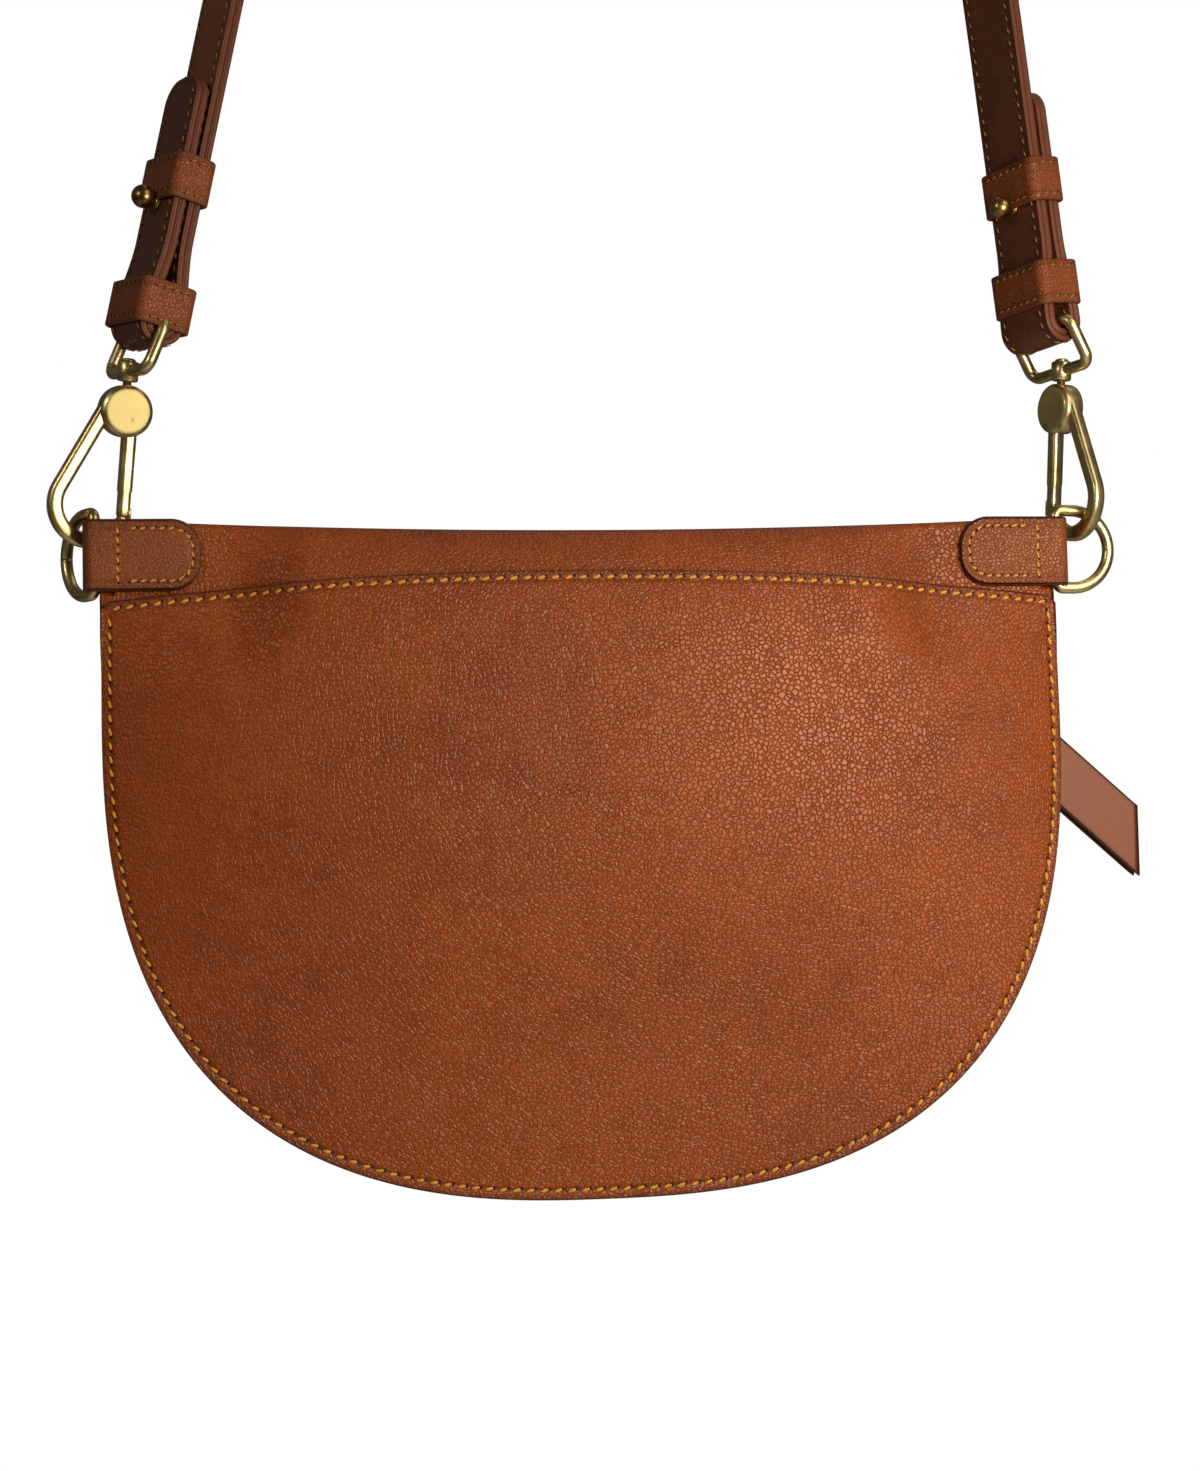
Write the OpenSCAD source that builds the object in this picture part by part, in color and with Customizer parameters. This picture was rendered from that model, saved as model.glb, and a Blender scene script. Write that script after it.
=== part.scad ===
// Half-moon leather crossbody bag hung by its strap over a round rail.
// The origin is the rail's axis, +Z is up, and the back of the bag with its slip pocket faces -Y.

/* [Hanging] */
// Radius of the rail that the strap hangs on
rail_r = 12.5; // [8:0.5:25]
// Height from the rail's axis down to the top corners of the bag
hang_drop = 560; // [480:1:700]
// How far the bag's middle lies to the left of the rail
hang_side = 20; // [0:1:40]

/* [Bag body] */
// Width of the bag from side to side
bag_w = 268; // [240:1:300]
// Height of the bag from its top corners to its lowest point
bag_h = 187; // [165:1:210]
// Height of the straight part of the sides
side_d = 50; // [44:1:60]
// How squarely the bottom curve is drawn, where 2 is an ellipse
outline_power = 2.6; // [2.2:0.1:3.2]
// Sag of the top fold in its middle
top_sag = 3; // [0:0.5:6]
// Length of the top fold on each side of the middle
fold_half = 126; // [112:1:127]
// Depth from the top at which the sides step in under the tabs
shoulder_d = 19.5; // [19.3:0.1:22]
// Radius of the rolled edge at the pinched corners
fold_r = 2.2; // [2.1:0.1:2.6]
// Height over which the top of the bag rounds out into its belly
fold_len = 36; // [30:1:60]
// Half the thickness of the seam at the pinched corners
rim_top = 2.2; // [2.1:0.1:2.6]
// Half the distance between the back seam and the front seam at the bottom
rim_low = 12; // [8:0.5:16]
// How far the back panel swells from the middle plane
belly_back = 14; // [12:0.5:18]
// How far the front panel swells from the middle plane
belly_front = 19; // [17:0.5:19.5]
// How flat the swelling stays before it falls to the seams
crown_power = 2.4; // [2:0.1:3.2]
// Thickness of the panel leather
panel_t = 1.4; // [1:0.1:1.5]
// Clearance between layers that are sewn together
layer_gap = 0.1; // [0.08:0.01:0.15]
// Thickness of the gusset leather
gusset_t = 1.2; // [0.8:0.1:1.6]
// How far the gusset is set in from the seam edges
gusset_in = 3; // [2:0.5:5]
// Thickness of the lining cloth
lining_t = 0.4; // [0.3:0.05:0.5]

/* [Slip pocket] */
// Depth of the pocket mouth below the top in the middle
mouth_mid_d = 13.7; // [11:0.1:18]
// Depth of the pocket mouth below the top at the sides
mouth_side_d = 20; // [19.8:0.1:24]
// Room between the pocket panel and the back panel
pocket_room = 7; // [5:0.1:8]
// Depth at which the pocket starts to close towards the bottom
pocket_full_d = 70; // [50:1:90]
// Depth at which the pocket panel lies flat on the back panel
pocket_end_d = 160; // [140:1:180]

/* [Zip] */
// Depth of the zip below the top corners
zip_d = 41; // [39:0.5:48]
// Distance of the zip's face from the middle plane
zip_y = 17.5; // [16.5:0.5:18.5]
// Length of the zip on each side of the middle
zip_half = 114; // [104:1:115]
// Half the height of the slot that the zip fills
zip_slot = 4.6; // [4.4:0.1:5.5]
// Height over which the panel settles from the zip's face to its own curve
zip_blend = 20; // [16:1:26]
// Thickness of the zip tape
tape_t = 0.6; // [0.4:0.1:0.8]
// Height of each zip tape beyond its teeth
tape_h = 4.3; // [4:0.1:4.6]
// Height of one row of teeth
teeth_h = 2.6; // [2:0.1:3]
// Thickness of the teeth
teeth_t = 2.6; // [2:0.1:3]
// Spacing of the teeth
teeth_pitch = 2; // [1.6:0.1:3]
// Slit between the two rows, in which the slider's web runs
teeth_slit = 1; // [0.8:0.1:1.2]
// Length of the end stops
stop_len = 1.6; // [1:0.1:3]
// Length of the slider
slider_len = 11; // [8:0.5:14]
// Half the height of the slider
slider_half = 4.1; // [3.9:0.1:4.2]
// Thickness of the slider's plates
slider_t = 1.2; // [1:0.1:1.5]
// Running clearance of the slider
slider_gap = 0.15; // [0.1:0.01:0.2]
// Place of the slider's middle when the zip is closed
slider_x = 106.5; // [60:0.5:106.5]
// Angle at which the puller lies below the zip line
pull_angle = 42; // [20:1:60]
// Thickness of the pull ring's wire
pull_wire = 1.8; // [1.4:0.1:2]
// Length of the pull ring
pull_ring_len = 12; // [10:0.5:16]
// Width of the leather puller
puller_w = 15; // [12:0.5:18]
// Length of the leather puller along its lower edge
puller_len = 66; // [50:1:80]
// Thickness of one layer of the puller
puller_t = 1.5; // [1:0.1:1.6]

/* [Tabs and rings] */
// Distance of the ring bars from the bag's middle
ring_x = 136; // [135.6:0.1:140]
// Height of the tabs
tab_h = 18.6; // [16:0.1:18.8]
// Height of the tabs' top edge above the bag's top corners
tab_up = 0.4; // [0.2:0.1:1]
// Length of the tabs' legs from the ring bar to the rounded end
tab_len = 29; // [26:0.5:32]
// Corner radius of the tabs' inner end
tab_r = 7; // [4:0.5:9]
// Outer radius of the tab's loop round the ring bar
tab_loop_r = 4.2; // [3.9:0.1:4.4]
// Thickness of the ring and eye wire
wire_d = 3.4; // [3:0.1:3.6]
// Inner height of the rings
ring_h = 19; // [18.9:0.1:21]
// Length of the rings' arms before their bow
ring_arm = 5; // [4:0.5:7]
// Bend radius at the ends of the ring bar
ring_bend = 2; // [1.9:0.1:2.4]
// Running clearance of the wires in their loops
wire_gap = 0.06; // [0.03:0.01:0.1]
// Angle of the left ring from straight out towards the front
ring_turn_left = 57; // [50:1:60]
// Angle of the right ring from straight out towards the front
ring_turn_right = 6; // [0:1:12]
// Distance along the ring's arm at which the hook pulls
hook_reach = 7.6; // [7.4:0.1:8]

/* [Snap hooks] */
// Diameter of the hook's drum
drum_d = 14.4; // [13.6:0.1:15]
// Width of the drum
drum_w = 7; // [6.6:0.1:8]
// Thickness of the hook's bar in its own plane
bar_t = 4.2; // [3.8:0.1:4.4]
// Width of the hook's bar and of the gate
bar_w = 4; // [3.6:0.1:4.2]
// Edge radius of the bar
bar_r = 1.3; // [1:0.1:1.5]
// Radius of the hook's bow along its middle
bow_r = 10; // [9.6:0.1:10.4]
// Distance of the bow's centre from the stem line
bow_u = 7.5; // [7:0.1:8]
// Distance of the bow's centre below the drum's centre
bow_v = 26.6; // [26.2:0.1:27]
// Distance of the gate's middle from the stem line
gate_u = 1.6; // [1.4:0.1:1.8]
// Thickness of the gate in the hook's plane
gate_t = 4; // [3.6:0.1:4.2]
// Depth below the drum's centre at which the gate meets the nose
gate_end_v = 29.8; // [29.4:0.1:30.2]
// Thickness of the nose's tongue
tongue_t = 0.9; // [0.7:0.1:1.1]
// Diameter of the gate's pin
pin_d = 1.6; // [1.2:0.1:1.8]
// Depth of the gate's pin below the drum's centre
pin_v = 2.4; // [2:0.1:2.8]
// Diameter of the swivel rivet
rivet_d = 2.4; // [2:0.1:2.8]
// Diameter of the barrel that the rivet turns in
barrel_d = 5.8; // [5.2:0.1:6.4]
// Height of the barrel
barrel_h = 5.6; // [5:0.1:6.4]
// Distance from the drum's centre to the middle of the barrel
barrel_v = 11; // [10.6:0.1:11.6]
// Running clearance of the pins
pin_gap = 0.05; // [0.03:0.01:0.08]
// Inner width of the swivel eye
eye_w = 20.8; // [20.6:0.1:22]
// Inner height of the swivel eye
eye_h = 11; // [10:0.5:13]
// Corner radius of the swivel eye along its wire
eye_bend = 3.2; // [3:0.1:4]
// Clear play of the ring in the hook
hook_play = 1.65; // [1.5:0.05:1.7]

/* [Strap] */
// Width of the strap
strap_w = 20; // [18:0.5:20]
// Thickness of each of the strap's two plies
ply_t = 2; // [1.6:0.05:2.1]
// Inner radius of the strap's folded ends
bend_r = 2.7; // [2.5:0.1:3.2]
// Length of the left folded tail above the eye
tail_left = 70; // [60:1:90]
// Length of the right folded tail above the eye
tail_right = 68; // [66:1:80]
// Gap between the tail and the strap above the fold
tail_gap = 0.6; // [0.4:0.1:1.2]
// Height above the eye at which the tail has closed up to the strap
tail_close = 24; // [20:1:28]
// Corner radius of the tails' tips
tip_r = 7; // [3:0.5:8]
// Angle at which the strap's left run meets the rail
top_lean_left = 16.5; // [14:0.5:20]
// Angle at which the strap's right run meets the rail
top_lean_right = 15.5; // [12:0.5:19]
// Angle by which the strap's left end is twisted
twist_left = 31; // [20:1:35]
// Angle by which the strap's right end is twisted
twist_right = 23; // [16:1:30]
// Height of a keeper loop
keeper_h = 12.8; // [10:0.1:13.2]
// Thickness of the keepers' leather
keeper_t = 1.5; // [1.2:0.1:1.8]
// Clearance between a keeper and what it holds
keeper_gap = 0.3; // [0.2:0.05:0.4]
// Height of the left lower keeper's middle above the eye
keeper_left_low = 11; // [9:1:14]
// Height of the left upper keeper's middle above the eye
keeper_left_high = 47; // [45:1:52]
// Height of the right lower keeper's middle above the eye
keeper_right_low = 17; // [14:1:17]
// Height of the right upper keeper's middle above the eye
keeper_right_high = 47; // [46:1:52]
// Height of the left stud above the eye
stud_left_h = 34; // [32:1:35]
// Height of the right stud above the eye
stud_right_h = 35; // [34:1:36]
// Diameter of the stud's ball
stud_d = 6.5; // [5:0.1:7]
// Diameter of the stud's neck
stud_neck_d = 3; // [2.4:0.1:3.4]
// Length of the stud's neck
stud_neck_h = 1.2; // [1:0.1:2]
// Diameter of the stud's post
stud_post_d = 2.6; // [2:0.1:2.8]
// Diameter of the stud screw's flat head
screw_head_d = 6; // [5:0.1:7]
// Thickness of the stud screw's head
screw_head_t = 1; // [0.8:0.1:1.4]

/* [Hidden] */
$fn = 48;

// Shares of the sizes above, and counts of the grids that the leather follows
column_count = 32;
back_rows = 14;
lining_side_columns = 5;
lining_low_rows = 1;
lining_top_rows = 4;
lining_zip_rows = 2;
wrap_rows = 12;
run_steps = 12;
bend_steps = 8;
outline_steps = 32;
hook_lean_left_share = [0.1, -0.15];
hook_lean_right_share = [0.03, -0.10];
eye_lean_left_share = [0.42, -0.01, 0.91];
eye_lean_right_share = [-0.455, -0.184, 0.874];
strap_lean_left_share = [0.215, -0.008];
strap_lean_right_share = [-0.11, -0.012];
hook_face_left = 20;
hook_face_right = 70;
pull_side_angle = 34;
cut_over = bag_w;

half_w = bag_w / 2;
low_h = bag_h - side_d;
bag_at = [-hang_side, 0, -hang_drop];
wire_r = wire_d / 2;

leather_tan = [0.55, 0.27, 0.11];
leather_dark = [0.42, 0.2, 0.09];
lining_tone = [0.45, 0.36, 0.27];
brass_tone = [0.6, 0.5, 0.28];
tape_tone = [0.3, 0.19, 0.1];

function unit(v) = v / norm(v);
function mix(a, b, t) = a + (b - a) * t;
function clamp01(t) = min(1, max(0, t));
function ease(t) = let (c = clamp01(t)) c * c * (3 - 2 * c);
function flat_to(v, axis) = unit(v - (v * axis) * axis);

// Places what is drawn in a frame given by its origin and its three unit axes
module in_frame(o, a, b, c) {
    multmatrix([[a.x, b.x, c.x, o.x], [a.y, b.y, c.y, o.y], [a.z, b.z, c.z, o.z]]) children();
}

// Rectangle with round corners, from plain squares and circles
module round_rect(w, h, r) {
    square([w - 2 * r, h], center = true);
    square([w, h - 2 * r], center = true);
    for (sx = [-1, 1], sy = [-1, 1]) translate([sx * (w / 2 - r), sy * (h / 2 - r)]) circle(r);
}

// Round wire bent into a closed ring in the XY plane through corners given anticlockwise
module wire_ring(corners, bends, r) {
    n = len(corners);
    along = [for (i = [0:n - 1]) unit(corners[(i + 1) % n] - corners[i])];
    half_turn = [for (i = [0:n - 1])
        let (d = along[(i + n - 1) % n] * along[i]) acos(max(-1, min(1, d))) / 2];
    reach = [for (i = [0:n - 1]) bends[i] * tan(half_turn[i])];
    for (i = [0:n - 1]) {
        j = (i + 1) % n;
        before = along[(i + n - 1) % n];
        start = corners[i] - before * reach[i];
        inward = [-before.y, before.x];
        centre = start + inward * bends[i];
        spoke = start - centre;
        translate([centre.x, centre.y, 0]) rotate([0, 0, atan2(spoke.y, spoke.x)])
            rotate_extrude(angle = 2 * half_turn[i]) translate([bends[i], 0]) circle(r);
        a = corners[i] + along[i] * reach[i];
        b = corners[j] - along[i] * reach[j];
        if (norm(b - a) > r / 100)
            translate([a.x, a.y, 0]) rotate([0, 0, atan2(along[i].y, along[i].x)])
                rotate([0, 90, 0]) cylinder(r = r, h = norm(b - a));
    }
}

// Closed sheet of a given thickness under a grid of points
function grid_normal(g, i, j) = let (n = len(g) - 1, m = len(g[0]) - 1)
    unit(cross(g[min(n, i + 1)][j] - g[max(0, i - 1)][j], g[i][min(m, j + 1)] - g[i][max(0, j - 1)]));
function sunk_grid(g, depth) = [for (i = [0:len(g) - 1]) [for (j = [0:len(g[0]) - 1])
    g[i][j] - depth * grid_normal(g, i, j)]];
module sheet(g, t) {
    n = len(g);
    m = len(g[0]);
    under = sunk_grid(g, t);
    points = concat([for (row = g) each row], [for (row = under) each row]);
    step = n * m;
    function at(i, j) = i * m + j;
    faces = concat(
        [for (i = [0:n - 2], j = [0:m - 2]) each [
            [at(i, j), at(i, j + 1), at(i + 1, j + 1)], [at(i, j), at(i + 1, j + 1), at(i + 1, j)]]],
        [for (i = [0:n - 2], j = [0:m - 2]) each [
            [step + at(i, j), step + at(i + 1, j + 1), step + at(i, j + 1)],
            [step + at(i, j), step + at(i + 1, j), step + at(i + 1, j + 1)]]],
        [for (i = [0:n - 2]) each [
            [at(i, 0), at(i + 1, 0), step + at(i + 1, 0)], [at(i, 0), step + at(i + 1, 0), step + at(i, 0)],
            [at(i, m - 1), step + at(i + 1, m - 1), at(i + 1, m - 1)],
            [at(i, m - 1), step + at(i, m - 1), step + at(i + 1, m - 1)]]],
        [for (j = [0:m - 2]) each [
            [at(0, j), step + at(0, j + 1), at(0, j + 1)], [at(0, j), step + at(0, j), step + at(0, j + 1)],
            [at(n - 1, j), at(n - 1, j + 1), step + at(n - 1, j + 1)],
            [at(n - 1, j), step + at(n - 1, j + 1), step + at(n - 1, j)]]]);
    polyhedron(points, faces, convexity = 8);
}

// The bag's outline and the swelling of its two faces, where d is the depth below the top corners
function top_d(x) = top_sag * (1 - pow(min(1, abs(x) / fold_half), 2));
shoulder_share = 0.62;
function edge_d(x) =
    max(top_d(x), shoulder_d * ease((abs(x) - fold_half) / ((half_w - fold_half) * shoulder_share)));
function bottom_d(x) = side_d + low_h * pow(1 - pow(clamp01(abs(x) / half_w), outline_power), 1 / outline_power);
function rho(x, d) = d < side_d ? abs(x) / half_w :
    pow(pow(abs(x) / half_w, outline_power) + pow((d - side_d) / low_h, outline_power), 1 / outline_power);
function rim(d) = mix(rim_top, rim_low, ease((d - shoulder_d) / (bag_h - shoulder_d)));
function rolled(t, r) = let (s = clamp01(t / r)) sqrt(1 - (1 - s) * (1 - s));
pinch_margin = 5;
pinch_drop = 4;
pinch_len = 10;
function pinch(x, d) = let (dx = max(0, ring_x - tab_len - pinch_margin - abs(x)),
        dz = max(0, d - tab_h - pinch_drop))
    1 - ease(norm([dx, dz]) / pinch_len);
function swell(x, d, belly) = rim(d) * rolled(d - edge_d(x), fold_r)
    + (belly - rim(d)) * (1 - pow(min(1, rho(x, d)), crown_power))
    * rolled(d - top_d(x), fold_len) * (1 - pinch(x, d));
zip_flat_share = 1.75;
zip_margin = 5;
zip_flat = zip_flat_share * zip_slot;
function zip_hold(x, d) = (1 - ease((abs(d - zip_d) - zip_flat) / zip_blend))
    * (1 - ease((abs(x) - zip_half - zip_margin) / (half_w - zip_half - zip_margin - rim_top)))
    * (1 - pinch(x, d)) * rolled(d - top_d(x), fold_len);
function back_y(x, d) = -swell(x, d, belly_back);
function front_y(x, d) = mix(swell(x, d, belly_front), zip_y, zip_hold(x, d));
function room(x, d) = pocket_room * (1 - pow(min(1, rho(x, d)), 4))
    * (1 - ease((d - pocket_full_d) / (pocket_end_d - pocket_full_d)));

function column_x(i) = half_w * sin(90 * (2 * i / column_count - 1));
function slot_edge(x) = zip_slot * (1 - ease((abs(x) - zip_half) / (half_w - zip_half) * 2));

// Grid of the back panel from its bottom seam over the top fold to the zip's upper edge
function back_grid() = [for (i = [0:column_count])
    let (x = column_x(i), e = edge_d(x), b = bottom_d(x), f = zip_d - slot_edge(x) - layer_gap)
    concat(
        [for (k = [back_rows:-1:0]) let (d = mix(e, b, 1 - cos(90 * k / back_rows))) [x, back_y(x, d), -d]],
        [for (k = [1:wrap_rows]) let (d = mix(e, f, 1 - cos(90 * k / wrap_rows))) [x, front_y(x, d), -d]])];
function front_grid() = [for (i = [0:column_count])
    let (x = column_x(i), b = bottom_d(x), e = zip_d + slot_edge(x) + layer_gap)
    [for (k = [0:back_rows]) let (d = mix(min(e, b - panel_t), b, k / back_rows)) [x, front_y(x, d), -d]]];
mouth_corner = 4.5;
function mouth_d(x) = mix(mouth_mid_d, mouth_side_d, pow(x / half_w, 2))
    + mouth_corner * ease((abs(x) - half_w + mouth_corner) / mouth_corner);
function pocket_grid() = [for (i = [0:column_count])
    let (x = column_x(i), e = mouth_d(x), b = bottom_d(x))
    [for (k = [back_rows:-1:0]) let (d = mix(e, b, 1 - cos(90 * k / back_rows)))
        [x, back_y(x, d) - room(x, d) - layer_gap - panel_t, -d]]];

module back_panel() color(leather_tan) translate(bag_at) sheet(back_grid(), panel_t);
module pocket_panel() color(leather_tan) translate(bag_at) sheet(pocket_grid(), panel_t);
module front_panel() color(leather_tan) translate(bag_at) sheet(front_grid(), panel_t);
// The linings follow the panels' own grids, some columns and rows in from the seams
lining_gap = 0.7;
module lining(g, first_row, last_row) color(lining_tone) translate(bag_at) {
    sunk = sunk_grid(g, panel_t + lining_gap);
    sheet([for (i = [lining_side_columns:len(g) - 1 - lining_side_columns])
        [for (j = [first_row:last_row]) sunk[i][j]]], lining_t);
}
module lining_back() lining(back_grid(), lining_low_rows, back_rows - lining_top_rows);
module lining_front() lining(front_grid(), lining_zip_rows, back_rows - lining_zip_rows);

// The gusset runs inside the seams from shoulder to shoulder
function outline_point(t, inset) = let (a = half_w - inset, b = low_h - inset, c = cos(t), s = sin(t))
    [-a * sign(c) * pow(abs(c), 2 / outline_power), side_d + b * pow(max(0, s), 2 / outline_power)];
gusset_rows = 4;
function gusset_path() = let (a = half_w - gusset_in, top = shoulder_d + gusset_in)
    concat([for (k = [0:2]) [-a, mix(top, side_d, k / 3)]],
        [for (k = [0:outline_steps]) outline_point(180 * k / outline_steps, gusset_in)],
        [for (k = [2:-1:0]) [a, mix(top, side_d, k / 3)]]);
function gusset_grid() = [for (p = gusset_path())
    let (w = rim(p[1]) - panel_t - layer_gap)
    [for (k = [0:gusset_rows]) [p[0], w * (1 - 2 * k / gusset_rows), -p[1]]]];
module gusset() color(leather_dark) translate(bag_at) sheet(gusset_grid(), gusset_t);

// Zip
tape_gap = 0.3;
tape_y = zip_y - panel_t - tape_gap - tape_t / 2;
module zip_tape(side) color(tape_tone) translate(bag_at + [-zip_half, tape_y - tape_t / 2, -zip_d])
    translate([0, 0, side > 0 ? teeth_slit / 2 + teeth_h : -teeth_slit / 2 - teeth_h - tape_h])
    cube([2 * zip_half, tape_t, tape_h]);
module zip_teeth(side) {
    count = floor(2 * (zip_half - stop_len) / teeth_pitch);
    run = count * teeth_pitch;
    root = teeth_h / 3;
    comb = concat([[0, teeth_h], [0, teeth_h - root]],
        [for (k = [0:count - 1]) each let (x = k * teeth_pitch)
            [[x + teeth_pitch / 4, teeth_h - root], [x + teeth_pitch / 4, 0],
            [x + 3 * teeth_pitch / 4, 0], [x + 3 * teeth_pitch / 4, teeth_h - root]]],
        [[run, teeth_h - root], [run, teeth_h]]);
    color(brass_tone) translate(bag_at + [-run / 2, tape_y + teeth_t / 2, -zip_d])
        mirror([0, 0, side > 0 ? 0 : 1]) translate([0, 0, teeth_slit / 2])
        rotate([90, 0, 0]) linear_extrude(teeth_t) polygon(comb);
}
stop_h = teeth_h * 2 + teeth_slit;
module zip_top_stop() color(brass_tone) for (side = [-1, 1])
    translate(bag_at + [zip_half - stop_len, tape_y - teeth_t / 2, -zip_d])
    translate([0, 0, side > 0 ? teeth_slit / 4 : -stop_h / 2])
    cube([stop_len - layer_gap, teeth_t, (stop_h - teeth_slit / 2) / 2]);
module zip_bottom_stop() color(brass_tone)
    translate(bag_at + [-zip_half, tape_y - teeth_t / 2, -zip_d - stop_h / 2])
    cube([stop_len - layer_gap, teeth_t, stop_h]);

bridge_t = 1;
bridge_w = 1.8;
pull_y = zip_y + 4;
slider_front = tape_y + teeth_t / 2 + slider_gap;
slider_back = tape_y - teeth_t / 2 - slider_gap;
bridge_h = pull_y + pull_wire / 2 + slider_gap + bridge_t - slider_front - slider_t;
slider_at = bag_at + [slider_x, 0, -zip_d];
module slider_plate(y0, y1) translate([-slider_len / 2, y0, -slider_half])
    cube([slider_len, y1 - y0, 2 * slider_half]);
module zip_slider() color(brass_tone) translate(slider_at) {
    web = teeth_slit - 2 * slider_gap;
    flange_z = teeth_slit / 2 + teeth_h + slider_gap;
    lip = tape_t / 2 + slider_gap;
    slider_plate(slider_front, slider_front + slider_t);
    slider_plate(slider_back - slider_t, slider_back);
    translate([-slider_len / 2, slider_back, -web / 2])
        cube([slider_len, slider_front - slider_back, web]);
    for (sz = [0, 1]) mirror([0, 0, sz]) {
        translate([-slider_len / 2, tape_y + lip, flange_z])
            cube([slider_len, slider_front - tape_y - lip, slider_half - flange_z]);
        translate([-slider_len / 2, slider_back, flange_z])
            cube([slider_len, tape_y - lip - slider_back, slider_half - flange_z]);
    }
    translate([0, slider_front + slider_t, 0]) difference() {
        translate([-slider_len / 3, 0, -bridge_w / 2])
            cube([2 * slider_len / 3, bridge_h, bridge_w]);
        translate([-slider_len / 3 + bridge_t, 0, -bridge_w])
            cube([2 * slider_len / 3 - 2 * bridge_t, bridge_h - bridge_t, 2 * bridge_w]);
    }
}

// The pull ring and the puller lie along pull_along, and turn about axes along pull_across
pull_along = [cos(pull_angle), 0, -sin(pull_angle)];
pull_across = [sin(pull_angle), 0, cos(pull_angle)];
pull_at = slider_at + [0, pull_y, 0];
pull_far = pull_at + pull_along * pull_ring_len;
pull_near_half = 3.1;
pull_far_half = puller_w / 2 + pull_wire;
pull_arm_t = 1.5;
function pull_outline(o) = [[-o, -pull_near_half - o], [pull_ring_len / 2, -pull_far_half - o],
    [pull_ring_len + o, -pull_far_half - o], [pull_ring_len + o, pull_far_half + o],
    [pull_ring_len / 2, pull_far_half + o], [-o, pull_near_half + o]];
module zip_pull_ring() color(brass_tone)
        in_frame(pull_at, pull_along, pull_across, cross(pull_along, pull_across)) {
    pull_r = pull_wire / 2;
    difference() {
        linear_extrude(pull_arm_t, center = true) difference() {
            polygon(pull_outline(pull_r));
            polygon(pull_outline(-pull_r));
        }
        translate([-pull_wire, -pull_near_half, -pull_wire])
            cube([2 * pull_wire, 2 * pull_near_half, 2 * pull_wire]);
        translate([pull_ring_len - pull_wire, -pull_far_half, -pull_wire])
            cube([2 * pull_wire, 2 * pull_far_half, 2 * pull_wire]);
    }
    rotate([90, 0, 0]) cylinder(r = pull_r, h = 2 * pull_near_half + pull_r, center = true);
    translate([pull_ring_len, 0, 0]) rotate([90, 0, 0])
        cylinder(r = pull_r, h = 2 * pull_far_half + pull_r, center = true);
}
module leather_puller() color(leather_tan)
    in_frame(pull_far, pull_along, cross(pull_across, pull_along), pull_across) {
    bore = pull_wire / 2 + wire_gap;
    outer = bore + puller_t;
    flat = puller_t + layer_gap;
    settle = 4 * puller_t;
    difference() {
        translate([0, 0, -puller_w / 2]) linear_extrude(puller_w) difference() {
            union() {
                circle(outer);
                polygon([[0, outer], [0, -outer], [settle, -flat], [puller_len, -flat],
                    [puller_len, flat], [settle, flat]]);
            }
            circle(bore);
            translate([0, -layer_gap]) square([puller_len + outer, 2 * layer_gap]);
        }
        translate([puller_len, 0, -puller_w / 2]) rotate([0, -pull_angle, 0])
            translate([0, -cut_over / 2, -cut_over / 2]) cube(cut_over);
    }
}

// Leather tabs that hold the rings
ring_z = tab_up - tab_h / 2;
tab_leg_t = tab_loop_r - rim_top - layer_gap / 2;
module tab_outline() {
    translate([0, -tab_h / 2]) square([tab_len - tab_r, tab_h]);
    translate([0, -tab_h / 2 + tab_r]) square([tab_len, tab_h - 2 * tab_r]);
    for (s = [-1, 1]) translate([tab_len - tab_r, s * (tab_h / 2 - tab_r)]) circle(tab_r);
}
// Drawn with the ring bar on the local Z axis and the legs along +X
module tab(side) color(leather_tan) translate(bag_at + [side * ring_x, 0, ring_z])
    mirror([side > 0 ? 1 : 0, 0, 0]) {
    difference() {
        union() {
            translate([0, 0, -tab_h / 2]) cylinder(r = tab_loop_r, h = tab_h);
            for (s = [-1, 1]) translate([0, s > 0 ? tab_loop_r : -tab_loop_r + tab_leg_t, 0])
                rotate([90, 0, 0]) linear_extrude(tab_leg_t) tab_outline();
        }
        translate([0, 0, -tab_h]) cylinder(r = wire_r + wire_gap, h = 2 * tab_h);
    }
}

// D rings: the bar stands on the local Z axis, and the bow lies along the ring's own direction
ring_half = ring_h / 2 + wire_r;
ring_dir_left = [-cos(ring_turn_left), sin(ring_turn_left), 0];
ring_dir_right = [cos(ring_turn_right), sin(ring_turn_right), 0];
module dring(side) {
    dir = side < 0 ? ring_dir_left : ring_dir_right;
    color(brass_tone) in_frame(bag_at + [side * ring_x, 0, ring_z], dir, [0, 0, 1], cross(dir, [0, 0, 1]))
        wire_ring([[0, -ring_half], [ring_arm + ring_half, -ring_half],
            [ring_arm + ring_half, ring_half], [0, ring_half]],
            [ring_bend, ring_half, ring_half, ring_bend], wire_r);
}

// Snap hooks: local X runs from the spine towards the gate, and local Z runs up the stem
pull_u = -bow_u - (bow_r - bar_t / 2 - wire_r - hook_play) * sin(pull_side_angle);
pull_v = -bow_v - (bow_r - bar_t / 2 - wire_r - hook_play) * cos(pull_side_angle);
arm_drop = hook_reach > ring_arm
    ? ring_half - sqrt(ring_half * ring_half - pow(hook_reach - ring_arm, 2)) : 0;
function contact(side) = bag_at + [side * ring_x, 0, ring_z + ring_half - arm_drop]
    + hook_reach * (side < 0 ? ring_dir_left : ring_dir_right);
function hook_up(side) = let (s = side < 0 ? hook_lean_left_share : hook_lean_right_share)
    unit([s[0], s[1], 1]);
function hook_side(side) = flat_to(side < 0 ? [cos(hook_face_left), sin(hook_face_left), 0]
    : [-cos(hook_face_right), sin(hook_face_right), 0], hook_up(side));
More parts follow.
